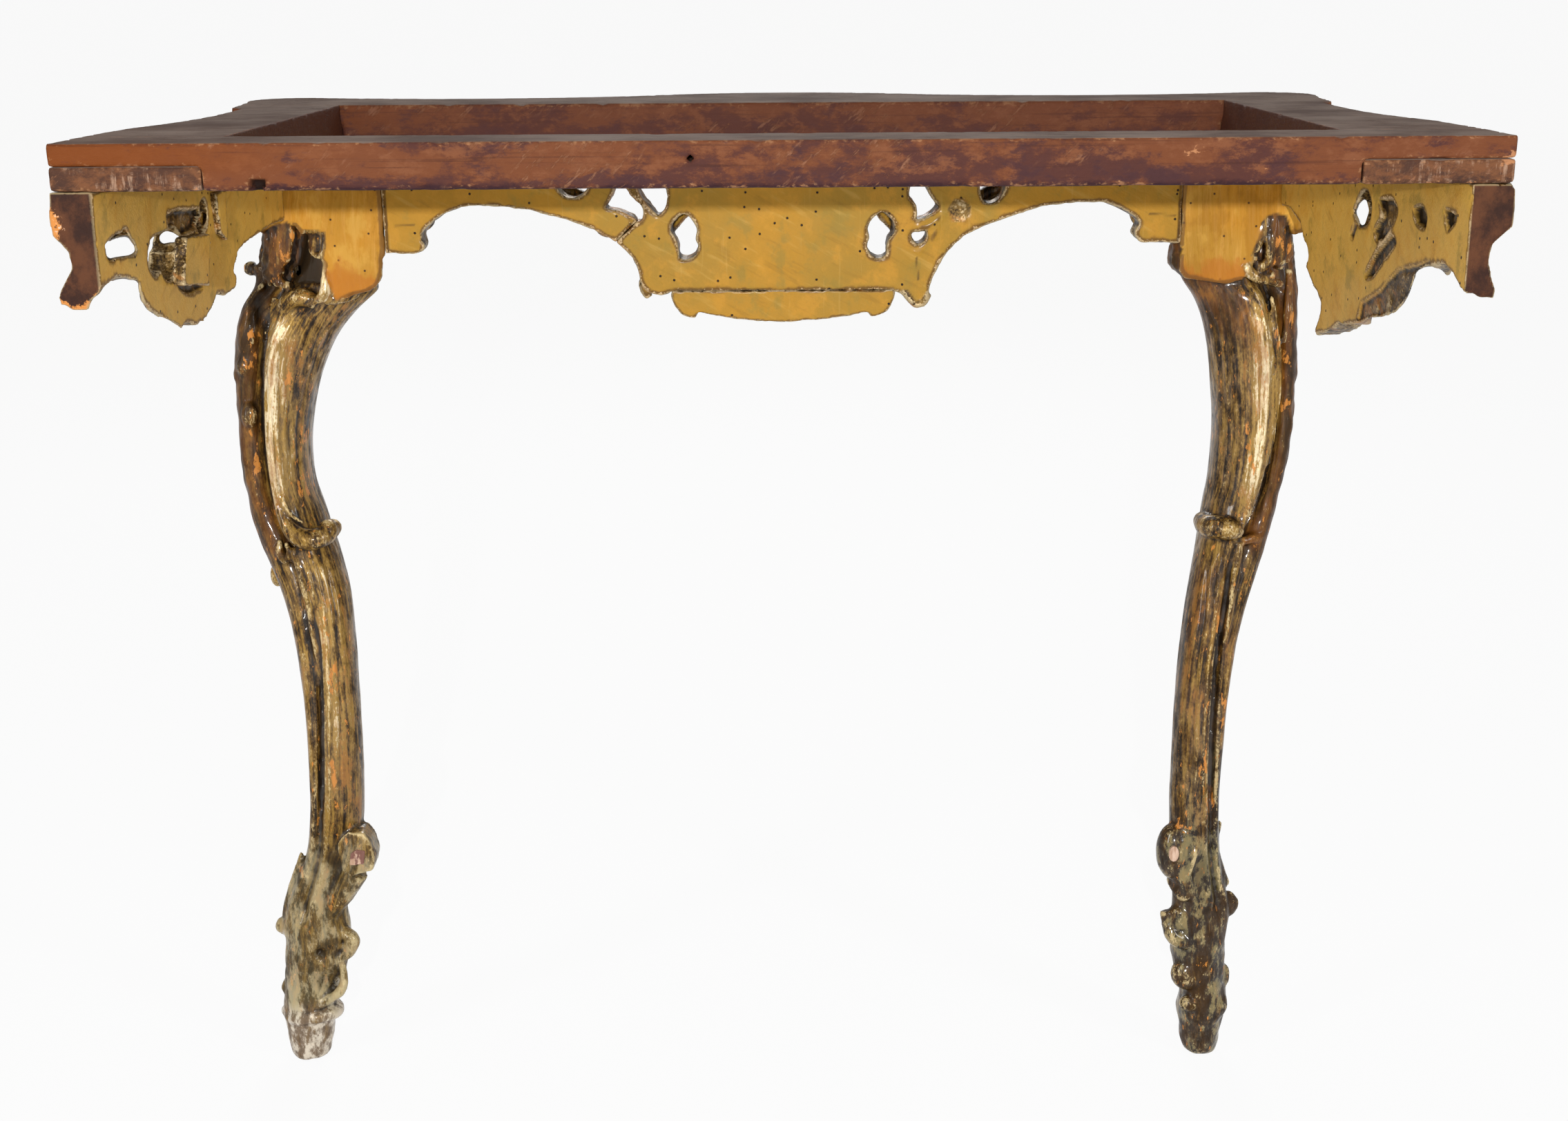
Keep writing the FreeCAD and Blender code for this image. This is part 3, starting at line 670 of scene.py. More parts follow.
leg_rolls = {
    1: [
        # fluted leaf beside the block, the bead's stalk, the flap, and the lip of the hollow with its painted
        # highlight
        [(424, -160, 802, 4), (424, -159, 778, 4.5), (426, -160, 757, 5), (430, -165, 738, 6),
         (432, -170, 727, 3)],
        [(417, -155, 802, 4), (417, -153, 778, 4.5), (419, -153, 757, 5), (424, -157, 738, 5),
         (428, -162, 726, 2.5)],
        [(410, -152, 802, 4), (410, -150, 778, 4.5), (412, -149, 758, 4.5), (417, -153, 740, 4.5),
         (421, -157, 728, 2)],
        [(405, -152, 790, 3), (404, -150, 774, 3.5), (406, -150, 760, 3.5), (410, -152, 746, 2)],
        [(438, -180, 737, 4), (450, -189, 736, 3)],
        [(377, -148, 771, 1.5), (376, -147, 762, 2.2), (378, -147, 754, 2.4), (384, -147, 751, 2.4),
         (389, -149, 756, 1.5)],
        [(379, -150, 748, 2), (379, -147, 739, 3.5), (377, -145, 728, 4.5), (380, -145, 719, 5),
         (387, -149, 715, 3.5), (393, -152, 719, 1.5)],
        [(379, -149, 716, 5), (370, -150, 716, 4.5), (361, -153, 716, 3), (352, -157, 718, 1)],
        # top of the fluted body, and the leafy band's hollow with its rim
        [(422, -163, 700, 5), (416, -158, 711, 7), (407, -154, 717, 8), (397, -153, 718, 8),
         (388, -154, 712, 6)],
        [(434, -166, 727, 2.5), (444, -172, 718, 4), (450, -175, 706, 4.5), (450, -171, 690, 3.5),
         (448, -167, 676, 1.5)],
        [(424, -160, 716, 2.5), (428, -161, 702, 3), (436, -162, 684, 2)],
        # rolled-over end of the fluted body, from the groove round the rear to the inner side
        [(441, -163, 560, 1.5), (436, -159, 542, 3.5), (429, -153, 524, 5.5), (420, -150, 512, 8.5),
         (409, -148, 508, 9.5), (399, -150, 509, 9.5), (393, -159, 511, 8.5), (393, -176, 512, 8)],
        [(435, -159, 561, 1.5), (432, -156, 549, 2.5), (427, -152, 536, 2.5), (420, -149, 528, 2.2),
         (411, -148, 523, 1.2)],
        [(436, -160, 505, 2), (438, -161, 494, 4), (431, -156, 486, 5), (425, -153, 495, 3),
         (430, -154, 504, 2)],
        [(421, -156, 498, 5), (415, -152, 479, 8), (410, -149, 455, 8), (407, -148, 425, 6.5),
         (404, -148, 385, 4), (402, -148, 340, 2)],
        # root of the stretcher and the knots below it
        [(428, -154, 120, 7), (420, -150, 146, 9), (409, -147, 166, 11), (397, -144, 182, 12),
         (386, -142, 200, 12)],
        [(385, -128, 244, 1.5), (393, -127.4, 238, 2.2), (396, -127.2, 229, 2.4), (394, -127.2, 217, 2.4),
         (394, -128, 206, 2)],
        [(412, -146, 240, 1.5), (404, -142, 243, 4), (396, -140, 247, 3.5), (388, -142, 250, 1.5)],
        [(417, -150, 205, 3), (412, -146, 196, 4.5), (414, -148, 180, 3), (421, -150, 158, 3),
         (424, -150, 140, 2.5)],
        [(405, -150, 138, 4), (397, -146, 134, 6), (394, -146, 126, 7), (399, -146, 116, 6),
         (408, -146, 110, 4), (420, -147, 106, 3)],
        [(430, -150, 104, 3), (437, -149, 92, 4), (439, -148, 76, 4.5), (432, -146, 63, 5),
         (419, -144, 69, 4.5), (408, -144, 79, 5), (404, -146, 93, 4), (406, -148, 106, 3)],
        [(466, -166, 47, 5), (459, -150, 48, 6), (443, -144, 50, 7), (427, -145, 52, 6.5),
         (416, -156, 50, 5.5), (419, -174, 47, 5), (440, -182, 46, 5), (461, -177, 46, 5),
         (466, -166, 47, 5)],
        [(438, -158, 210, 2), (443, -157, 192, 4), (450, -157, 170, 5), (456, -158, 148, 6),
         (460, -161, 128, 4)],
    ],
    -1: [
        [(398, -152, 792, 3), (397, -149, 778, 3.5), (393, -148, 765, 4), (389, -148, 752, 3.5)],
        [(404, -152, 795, 3), (404, -149, 778, 4), (402, -148, 764, 4.5), (401, -148, 750, 4.5),
         (403, -151, 738, 3)],
        [(411, -153, 795, 3), (410, -150, 776, 4), (410, -150, 763, 4.5), (412, -151, 750, 5),
         (411, -154, 736, 3)],
        [(415, -157, 770, 2.5), (417, -157, 760, 4), (420, -160, 751, 4.5), (418, -162, 740, 4)],
        [(379, -150, 740, 3), (384, -148, 734, 5), (394, -150, 729, 5), (406, -154, 726, 4),
         (416, -160, 722, 3)],
        [(422, -164, 735, 3), (424, -165, 715, 4), (424, -163, 695, 3.5), (421, -162, 672, 2)],
        [(408, -161, 712, 2), (413, -158, 690, 3), (418, -157, 655, 3), (419, -157, 610, 3),
         (415, -158, 565, 2)],
        [(366, -184, 511, 8), (364, -167, 511, 9.5), (368, -156, 513, 10.5), (376, -151, 513, 10.5),
         (385, -151, 511, 9), (392, -154, 508, 5.5)],
        [(394, -158, 498, 3.5), (405, -162, 500, 5.5), (414, -172, 499, 5.5), (420, -186, 500, 5)],
        [(391, -156, 498, 5), (389, -153, 480, 7), (386, -151, 455, 6.5), (384, -150, 420, 5),
         (382, -149, 380, 3)],
        # knob where the stretcher was, and the lumps under it
        [(376, -150, 152, 7), (368, -147, 168, 10), (359, -145, 184, 12), (351, -144, 202, 13)],
        [(366, -142, 238, 2), (364, -133, 222, 3.5), (361, -131, 206, 3.5), (358, -136, 192, 2.5)],
        [(346, -150, 186, 4), (352, -142, 176, 7), (361, -140, 171, 7), (369, -144, 176, 3.5)],
        [(345, -152, 150, 6), (348, -146, 130, 8), (359, -143, 123, 8), (371, -144, 124, 6.5),
         (378, -148, 136, 4)],
        [(382, -158, 162, 3), (386, -156, 140, 4), (388, -156, 116, 4), (390, -157, 92, 4)],
        [(366, -148, 106, 3), (377, -146, 101, 4.5), (386, -147, 92, 5), (389, -150, 80, 4)],
        [(391, -160, 232, 1.5), (389, -156, 236, 4), (386, -155, 220, 3), (391, -157, 195, 3.5),
         (398, -159, 172, 5)],
    ],
}
leg_balls = {
    1: [
        (383.5, -152, 762, 8, 5, 11), (393, -157, 514, 8, 8, 10), (451, -190, 736, 5.8, 5.8, 6.2),
        (428, -158, 736, 5, 5, 5), (419, -156, 730, 5, 5, 5), (412, -155, 727, 4, 4, 4),
        (405, -153, 738, 3, 3, 5), (458, -171, 656, 6, 5, 9), (465, -182, 645, 5, 6, 9),
        (465, -182, 620, 5, 5, 7), (456, -169, 614, 7, 5, 11), (466, -185, 603, 4, 6, 8),
        (464, -181, 578, 4, 5, 8), (449, -188, 464, 6, 6, 11), (438, -178, 455, 6, 5, 8),
        (434, -155, 196, 6, 6, 9), (461, -160, 137, 7, 6, 8), (462, -161, 73, 6, 6, 9),
        (407, -146, 123, 3.5, 3.5, 3.5), (415, -147, 117, 4, 4, 4), (452, -156, 96, 8, 6, 18),
    ],
    -1: [
        (383, -148, 737, 5, 5, 6), (388, -150, 746, 4, 4, 5), (396, -150, 739, 5, 4, 5),
        (404, -151, 731, 4, 4, 4), (411, -152, 743, 5, 4, 5), (421, -161, 749, 4.5, 4, 5),
        (407, -150, 756, 4, 3.5, 5), (438, -186, 643, 3, 7, 14), (437, -186, 610, 4, 7, 12),
        (347, -143, 214, 16, 15, 27), (356, -145, 226, 13, 13, 16), (360, -149, 146, 14, 11, 13),
        (402, -160, 152, 9, 8, 13), (408, -161, 151, 5, 5, 8), (366, -148, 88, 15, 11, 15),
        (379, -148, 70, 9, 7, 8), (370, -148, 58, 10, 8, 8), (393, -155, 54, 13, 12, 17),
        (403, -163, 78, 7, 7, 12),
    ],
}
# Rear of each block with the arch over the leaf, and the sawn end of the left stretcher, as distance out and
# height; then the depths between which they stand
block_outlines = {
    1: [(327, 848), (327, 754), (330, 750), (330.5, 735), (336, 726.5), (342, 723), (360, 718.5),
        (370, 715.5), (374, 728), (377.5, 738), (378, 749), (376, 758), (377, 770), (383, 772.5),
        (391, 771), (395, 770), (399, 775.5), (405.5, 781), (417, 778.5), (430, 771), (430, 848)],
    -1: [(327, 848), (327, 757), (329.5, 754), (327, 747), (327, 736), (332, 729.5), (348, 727),
         (366, 724.5), (380, 728), (382, 734), (378, 741), (388, 744), (385.5, 748.5), (388.5, 757),
         (394, 766), (392, 775), (397, 781), (404, 783), (412.5, 781), (416, 774), (419, 764),
         (430, 768), (430, 848)],
}
stump_outline = [(374, 243), (384, 243), (392, 238), (395.5, 231), (394, 220), (393, 207), (388, 201),
                 (377, 204), (367.5, 207), (365, 220), (368.5, 235)]
block_rear, block_front = -146, -198
stump_face, stump_root = -127.5, -152
stump_low, stump_high = 192, 260
block_foot = 712
# The left block's inner cheek slants from this depth on, over this length
cheek_start, cheek_length, cheek_slant = -0.148, 0.05, 0.24
# A roll down the inner edge of the right leg's block
block_edge_roll = [(328, -156, 775, 4), (328, -157, 750, 7), (330, -157, 738, 7)]
leg_voxel = 1.78

# The gilding is worn to an olive brown glaze: streaks follow the leg, orange bole shows through, and the left
# foot is pale and silvery. A painted highlight lightens it along the groove and on the arches' lips.
# The block's ochre paint is a second finish, laid on where "painted" is stored.
gilt = Finish("aged_gilding")
grain_place = gilt.stored("grain", "Vector")
streak = gilt.cloud((330, 330, 13), 7, grain_place, 0.6)
broad = gilt.cloud((110, 110, 7.0), 6, grain_place, 0.6)
blotch = gilt.cloud((34, 34, 17), 6, rough=0.6)
mottle = gilt.cloud((130, 130, 60), 7, rough=0.72)
speck = gilt.cloud((700, 700, 380), 4)
flutes = gilt.cloud((190, 190, 1.6), 2, grain_place, 0.4)
cloudy = blotch * 0.5 + mottle * 0.5
edge_wear_and_crevice_shade, dark, painted_highlight = gilt.stored("edge"), gilt.stored("dark"), gilt.stored("painted_highlight")
hollow, painted = gilt.stored("hollow"), gilt.stored("painted")
height = gilt.part(gilt.place, "Z")
high_up = gilt.ramp(height, 0.28, 0.38)
low_dark = dark * (1 - high_up)
high_dark = dark * high_up
leaf = streak * 0.36 + broad * 0.22 + mottle * 0.30 + speck * 0.12
# The stored painted highlight lifts the leaf towards its pale gold
leaf = leaf + edge_wear_and_crevice_shade * 0.05 + (painted_highlight - 0.20) * 0.115 - dark * 0.060
rusty = gilt.ramp(blotch * 0.40 + mottle * 0.35 + broad * 0.25 - dark * 0.015, 0.520, 0.58)
rubbed = gilt.ramp(edge_wear_and_crevice_shade + (speck - 0.5) * 1.6 + (mottle - 0.5) * 1.8 - high_dark * 0.30, 0.42, 0.80)
chipped = gilt.cloud((210, 210, 80), 6, rough=0.65) + gilt.stored("rub") * 0.14 - low_dark * 0.02
chipped = gilt.ramp(chipped, 0.615, 0.660) * (0.55 + mottle * 0.8)
gesso = gilt.layers((0.21, 0.15, 0.10), (gilt.ramp(cloudy, 0.46, 0.54), (0.76, 0.67, 0.54)))
silver = gilt.layers((0.100, 0.072, 0.026),
                     (gilt.ramp(blotch * 0.6 + mottle * 0.4, 0.46, 0.54), (0.50, 0.42, 0.23)),
                     (1 - gilt.ramp(height + (blotch - 0.5) * 0.05, 0.045, 0.075), gesso))
leg_colour = gilt.layers(
    (0.014, 0.007, 0.002),
    (gilt.ramp(leaf, 0.415, 0.480), (0.110, 0.055, 0.010)),
    (gilt.ramp(leaf, 0.465, 0.540), (0.31, 0.180, 0.038)),
    (gilt.ramp(leaf, 0.560, 0.620) * 0.95, (0.80, 0.66, 0.42)),
    (rusty * 0.65, (0.32, 0.120, 0.012)),
    (gilt.ramp(dark, 0.2, 0.9) * gilt.ramp(1 - blotch, 0.40, 0.60) * 0.75, (0.050, 0.022, 0.004)),
    (high_dark * gilt.ramp(blotch * 0.6 + broad * 0.4, 0.44, 0.56) * 0.6, (0.170, 0.055, 0.004)),
    (low_dark * gilt.ramp(cloudy, 0.51, 0.57) * 0.75, (0.25, 0.20, 0.080)),
    (rubbed * 0.75, (0.62, 0.47, 0.23)),
    (chipped, (0.56, 0.215, 0.035)),
    (gilt.stored("pale") * gilt.ramp(blotch + mottle * 0.3, 0.42, 0.62) * 0.9, silver),
    # Crevices are painted near black, as dark grime and painted shade
    (gilt.ramp(0 - edge_wear_and_crevice_shade, 0.12, 0.70) * 0.88, (0.013, 0.007, 0.003)),
    # The hollow and the pits are painted dark: painted shade
    (hollow * (0.65 + mottle * 0.5), (0.026, 0.014, 0.004)),
)

ochre_cloud = gilt.cloud((9, 9, 9), 5)
ochre_patch = gilt.cloud((46, 46, 26), 6, rough=0.65)
uneven = ochre_patch - 0.5
orange_edge = height + uneven * 0.05 + (ochre_cloud - 0.5) * 0.06 + gilt.part(gilt.place, "X") * 0.018
ochre = gilt.layers(
    (0.53, 0.235, 0.018),
    (gilt.ramp(ochre_cloud, 0.36, 0.64), (0.44, 0.225, 0.026)),
    (gilt.ramp(gilt.cloud((240, 240, 14), 5), 0.50, 0.66) * 0.40, (0.62, 0.33, 0.07)),
    (gilt.ramp(ochre_patch, 0.50, 0.60) * 0.60, (0.36, 0.155, 0.010)),
    (gilt.ramp(1 - ochre_patch, 0.52, 0.64) * 0.60, (0.62, 0.34, 0.055)),
    (1 - gilt.ramp(gilt.worm_holes(36.0), 0.020, 0.045), (0.05, 0.02, 0.004)),
    ((1 - gilt.ramp(orange_edge, 0.738, 0.746)) * 0.75, (0.42, 0.135, 0.008)),
    (gilt.ramp(edge_wear_and_crevice_shade + uneven, 0.25, 0.6) * 0.7, (0.12, 0.05, 0.012)),
)
leg_height = flutes * 1.1 + streak * 0.16 + broad * 0.25 + mottle * 0.30 + speck * 0.10 + blotch * 0.5
aged_gilding = gilt.complete(gilt.layers(leg_colour, (painted, ochre)),
                             0.34 + blotch * 0.26 + hollow * 0.1 + painted * 0.10, leg_height, 0.0013)
gilt.link(gilt.ramp(leaf, 0.47, 0.58) * 0.45 * (1 - painted), "Metallic")
glaze = gilt.ramp(cloudy + painted_highlight * 0.10, 0.42, 0.56) * (1 - painted * 0.8) * (1 - hollow * 0.7)
gilt.link(glaze * (1 - high_dark * 0.6) * 0.85, "Coat Weight")
gilt.shader.inputs["Coat Roughness"].default_value = 0.12
gilt.shader.inputs["Specular IOR Level"].default_value = 0.2


# The hollow beside the left block: outline and depth of its floor
leg_hollows = {
    1: [([(402, 778), (398, 772), (394, 766), (391, 755), (388, 750), (380, 746), (381, 737), (384, 727),
          (398, 728), (408, 726), (410, 733), (405, 745), (402, 757), (400, 768)], -166)],
    -1: [],
}
# Dips between the knots: distance out, height, half width, half height, depth and how dark their painted
# shade is
leg_pits = {
    1: [(441, 702, 7, 13, 6.0, 0.6), (423, 118, 5.5, 5.5, 9.0, 1.0), (421, 88, 9, 10, 4.0, 0.35),
        (404, 212, 7, 14, 3.0, 0.85)],
    -1: [(378, 156, 8, 6, 4.0, 0.4), (372, 196, 6, 18, 3.0, 0.5)],
}
# The strip at the left block's arch where the paint has come off
unpainted_strip = [(375.5, 700), (379, 738), (380, 750), (375.5, 758), (376, 773), (391, 774), (396, 770),
                   (392, 700)]
# The lip under each arch, with a painted highlight: how strong it is and where
painted_lip_highlights = {1: (1.3, (378, 728, 6, 12)), -1: (0.8, (383, 737, 5, 8))}
# Orange bole laid bare: distance out, height, half width and half height
leg_rubs = {
    1: [(411, 752, 4, 6), (404, 769, 4, 6), (422, 732, 4, 3), (453, 661, 6, 9), (449, 683, 3, 8),
        (417, 647, 3, 8), (413, 591, 3, 9), (454, 573, 3, 12), (414, 548, 3.5, 15), (441, 528, 3.5, 10),
        (382, 477, 3.5, 11), (379, 457, 2.5, 11), (418, 457, 3, 12), (447, 640, 3, 4), (436, 198, 5, 4),
        (452, 92, 4, 12), (411, 170, 4, 7), (420, 90, 3, 5), (398, 440, 3, 15), (392, 390, 2.5, 18),
        (404, 350, 2.5, 14), (396, 300, 3, 20)],
    -1: [(427, 692, 4, 6), (415, 668, 3, 16), (427, 660, 4, 8), (428, 615, 4, 6), (405, 758, 5, 5),
         (418, 752, 4, 4), (408, 745, 4, 4), (376, 104, 10, 3.5), (386, 95, 5, 4), (358, 235, 6, 2),
         (378, 262, 4, 9), (374, 30, 5, 3), (400, 90, 3, 4), (383, 199, 3, 4), (352, 240, 8, 2),
         (365, 580, 3, 30), (392, 600, 4, 14), (398, 570, 3, 12), (376, 430, 3, 20), (384, 350, 3, 18),
         (366, 300, 4, 16), (372, 270, 5, 10)],
}


def carve_leg(leg, side):
    """Cut the flutes, ripples and pits into the joined leg, and store where each finish lies."""
    places = points_of(leg)
    heights = places[:, 2] / MM
    middle, half, depth, deep = leg_row(heights, side)
    across = (places[:, 0] - middle_x) / MM * side
    behind = places[:, 1] / MM
    seen = np.stack([across, heights], 1)
    rear = smooth_step(behind - depth, 0.1, 0.45)
    inward = groove_at(heights, side) - across
    from_edge = across - (side * middle - half)
    upper = between(heights, 520, 560, 690, 712)
    lower = between(heights, 250, 290, 470, 495)
    push = -2.8 * bell(inward, 2.4) * rear * np.maximum(upper, lower)
    for distance, deep_cut in ((7.0, 1.2), (12.0, 1.3), (17.5, 1.1), (23.5, 0.9), (30.0, 0.6)):
        push -= deep_cut * bell(inward - distance, 1.5) * rear * upper
    for distance in (5.5, 11.0, 17.0):
        push -= 1.2 * bell(inward - distance, 1.6) * rear * lower
    push -= 1.1 * (bell(from_edge - 5.0, 1.7) + bell(from_edge - 10.5, 1.7)) * rear * upper
    push -= 0.9 * bell(inward + 9.0, 2.5) * rear * lower
    front = smooth_step(depth - behind, 0.1, 0.45)
    for share in (-0.55, -0.25, 0.05, 0.28):
        push -= 1.6 * bell((across - side * middle) / half - share, 0.07) * front * np.maximum(upper, lower)
    pit_shade = np.zeros(len(places))
    for *place, deep_cut, painted_shade in leg_pits[side]:
        pit = oval(seen, *place) * rear
        push -= deep_cut * pit
        pit_shade = np.maximum(pit_shade, painted_shade * pit)
    gnarled = smooth_step(heights, 245, 150)
    leafy = between(heights, 715, 740, 785, 792) * smooth_step(behind, -146.5, -149)
    push += gnarled * (1.3 * lumps(places, 14 * MM, 4.0) + 0.3 * lumps(places, 6 * MM, 5.0))
    push += leafy * (1.0 * lumps(places, 8 * MM, 7.0) + 0.8 * lumps(places, 4 * MM, 8.0))
    band = smooth_step(-inward, 3, 8) * smooth_step(heights, 470, 500) * (1 - leafy)
    push += band * 1.3 * lumps(places, 14 * MM, 9.0)
    push += 0.35 * lumps(places, 22 * MM, 6.0) * (heights < block_foot)
    hollow = np.zeros(len(places))
    for outline, bottom in leg_hollows[side]:
        hollow = np.maximum(hollow, within(seen, outline, 3.0))
    push *= 1 - hollow
    push_out(leg, push * MM)
    places = points_of(leg)
    normals = points_of(leg, "normal")
    grain_place = np.stack([across * MM - middle * side * MM, places[:, 1] - depth * MM, places[:, 2]], 1)
    store(leg, "grain", grain_place, "FLOAT_VECTOR")
    wavy = 1.2 * lumps(places, 6 * MM, 11.0)
    painted = within(seen, block_outlines[side], 1.5) * smooth_step(behind, -150.5, -148.0)
    painted = painted * (heights > block_foot)
    if side > 0:
        painted *= 1 - within(seen + wavy[:, None], unpainted_strip, 1.0)
    cheek_foot = 742 if side > 0 else 786
    inner = smooth_step(-normals[:, 0] * side, 0.5, 0.8) * (heights > cheek_foot) * (behind > -180)
    cheek = smooth_step(normals[:, 1], 0.35, 0.7) + (across > 340)
    store(leg, "painted", np.clip(painted * np.clip(cheek, 0, 1) + inner * (across < 340), 0, 1))
    store(leg, "edge", edge_share(leg, 6, 1.3 * MM))
    foot = smooth_step(heights, 112, 34)
    store(leg, "pale", (foot + 0.55 * smooth_step(heights, 260, 200) * (1 - foot)) * (side > 0))
    # Painted highlight: the gilding is lightened near the groove and on the arch's lip, where the lamps'
    # highlights fall
    high_shine, low_shine = (1.0, 0.45) if side > 0 else (0.85, 0.1)
    high_shine = high_shine * upper * bell(inward - 13, 10)
    low_shine = low_shine * lower * bell(inward - 9, 9)
    gloss, lip_place = painted_lip_highlights[side]
    lip = gloss * oval(seen, *lip_place) * rear
    store(leg, "painted_highlight", np.clip(np.maximum(high_shine, low_shine) * rear + lip, 0, 1))
    shade = leafy + band * 0.8
    if side < 0:
        shade = leafy + band + smooth_step(heights, 290, 215) + 0.35 * lower
        shade += 0.8 * smooth_step(heights, 645, 700) * smooth_step(inward, 12, 26) * (heights < 735)
    store(leg, "dark", np.clip(shade, 0, 1))
    rub = sum(oval(seen, *place) for place in leg_rubs[side])
    store(leg, "rub", np.clip(rub * 1.2, 0, 1) * rear)
    # The hollow's floor and the pits carry painted shade
    store(leg, "hollow", np.maximum(hollow * smooth_step(behind, -150, -156), pit_shade))


for side, name in ((1, "left_leg"), (-1, "right_leg")):
    parts = [leg_body(side, name + "_carving")]
    parts += front_leaves(side) + rolls_of(side, leg_rolls[side]) + balls_of(side, leg_balls[side])
    parts.append(slab([(side * x, z) for x, z in block_outlines[side]], block_rear, block_front))
    if side > 0:
        parts.append(slab(stump_outline, stump_face, stump_root))
    else:
        parts += rolls_of(side, [block_edge_roll])
    leg = parts[0]
    pick(*parts)
    bpy.ops.object.join()
    rasp(leg, leg_voxel * MM, 2)
    places = points_of(leg)
    heights = places[:, 2] / MM
    across = (places[:, 0] - middle_x) / MM * side
    stump = (heights > stump_low) & (heights < stump_high) & (places[:, 1] > stump_face * MM)
    flattened = 0.25 if side > 0 else 0.5
    places[stump, 1] = stump_face * MM + (places[stump, 1] - stump_face * MM) * flattened
    for outline, bottom in leg_hollows[side]:
        share = within(np.stack([across, heights], 1), outline, 2.5)
        sunk = np.minimum(places[:, 1], bottom * MM)
        places[:, 1] += (sunk - places[:, 1]) * share * (places[:, 1] > -0.185)
    places[places[:, 2] < 0, 2] = 0
    if side > 0:
        inner_side = smooth_step(across, 350, 330) * smooth_step(heights, 715, 725) * (heights < 789)
        places[:, 0] += cheek_slant * np.clip(cheek_start - places[:, 1], 0, cheek_length) * inner_side
    move_points(leg, places)
    carve_leg(leg, side)
    leg.data.materials.append(aged_gilding)
    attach(leg, "root")
    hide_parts(name)


# The aprons are boards pierced and carved on the front and gilded there; their flat backs are painted ochre.
# The left wing of the front apron is a board of its own, glued on at a slanting joint in the neck.
# A strip is glued along the lower edge of the cartouche.
paint = Finish("ochre_back")
edge_wear_and_crevice_shade, flat, end = paint.stored("edge"), paint.stored("flat"), paint.stored("end")
slanting = paint.stretched((1, 1, 1), turn=(0.5, 0.45, 0))
cloudy = paint.cloud((9, 9, 9), 5)
patches = paint.cloud((40, 40, 32), 7, rough=0.68)
strokes = paint.cloud((26, 26, 190), 6, slanting)
drips = paint.cloud((300, 300, 14), 3)
speck = paint.cloud((600, 600, 600), 2)
uneven = patches - 0.5
pits = 1 - paint.ramp(paint.worm_holes(85.0), 0.055, 0.095)
pits = pits * (paint.part(paint.worm_holes(85.0, "Color"), "X") > 0.80) * flat
rubbed = paint.ramp(edge_wear_and_crevice_shade + (speck - 0.5) * 1.6 + uneven * 1.2, 0.62, 0.85)
ochre = paint.layers(
    (0.45, 0.225, 0.020),
    (paint.ramp(cloudy, 0.40, 0.60), (0.37, 0.205, 0.024)),
    # The side aprons' backs are painted lighter: painted light for faces the lamps reach at a slant
    (paint.stored("side_apron_painted_light") * 0.85, (0.66, 0.38, 0.070)),
    (paint.ramp(patches, 0.50, 0.66) * 0.60, (0.57, 0.275, 0.030)),
    (paint.ramp(1 - patches, 0.52, 0.66) * 0.60, (0.27, 0.185, 0.030)),
    (paint.ramp(strokes, 0.56, 0.72) * 0.30, (0.22, 0.110, 0.012)),
    (paint.ramp(1 - strokes, 0.56, 0.72) * 0.28, (0.64, 0.40, 0.10)),
    (paint.ramp(drips, 0.62, 0.74) * 0.2, (0.60, 0.38, 0.10)),
    (paint.ramp(edge_wear_and_crevice_shade + uneven * 1.4, 0.16, 0.50) * 0.80, (0.100, 0.044, 0.010)),
    (rubbed * 0.8, (0.70, 0.50, 0.27)),
    (pits, (0.020, 0.010, 0.004)),
    (paint.stored("joint") * (0.2 + patches * 1.1), (0.045, 0.022, 0.008)),
)
worn_gilt = paint.layers(
    (0.040, 0.022, 0.008),
    (paint.ramp(patches * 0.6 + speck * 0.4, 0.42, 0.58), (0.240, 0.140, 0.038)),
    (paint.ramp(edge_wear_and_crevice_shade * 0.3 + patches * 0.5 + speck * 0.5, 0.54, 0.66) * 0.8, (0.56, 0.43, 0.24)),
    (paint.ramp(strokes * 0.5 + cloudy * 0.5, 0.54, 0.60) * 0.5, (0.40, 0.150, 0.020)),
    # Crevices are painted near black, as dark grime and painted shade
    (paint.ramp(0 - edge_wear_and_crevice_shade, 0.05, 0.55) * 0.92, (0.014, 0.008, 0.003)),
)
chipped = edge_wear_and_crevice_shade * 0.16 + paint.stored("knocked") * 0.42 + uneven * 1.6 + (speck - 0.5) * 0.25
chipped = paint.ramp(chipped, 0.34, 0.42)
end_wood = paint.layers(
    (0.028, 0.010, 0.006),
    (paint.ramp(patches, 0.40, 0.62), (0.095, 0.034, 0.014)),
    (chipped, (0.56, 0.215, 0.050)),
    (chipped * paint.ramp(speck * 0.3 + patches * 0.7, 0.56, 0.62) * 0.7, (0.74, 0.54, 0.40)),
)
ochre_back = paint.complete(paint.layers(worn_gilt, (flat, ochre), (end, end_wood)),
                            0.32 + flat * 0.18 + patches * 0.18 + end * 0.30,
                            strokes * 0.30 + patches * 0.8 + speck * 0.15 - pits * 1.5, 0.0014)
paint.link((1 - flat) * (1 - end) * 0.40, "Metallic")
paint.link((1 - end) * 0.15, "Coat Weight")
paint.shader.inputs["Coat Roughness"].default_value = 0.2
paint.shader.inputs["Specular IOR Level"].default_value = 0.18

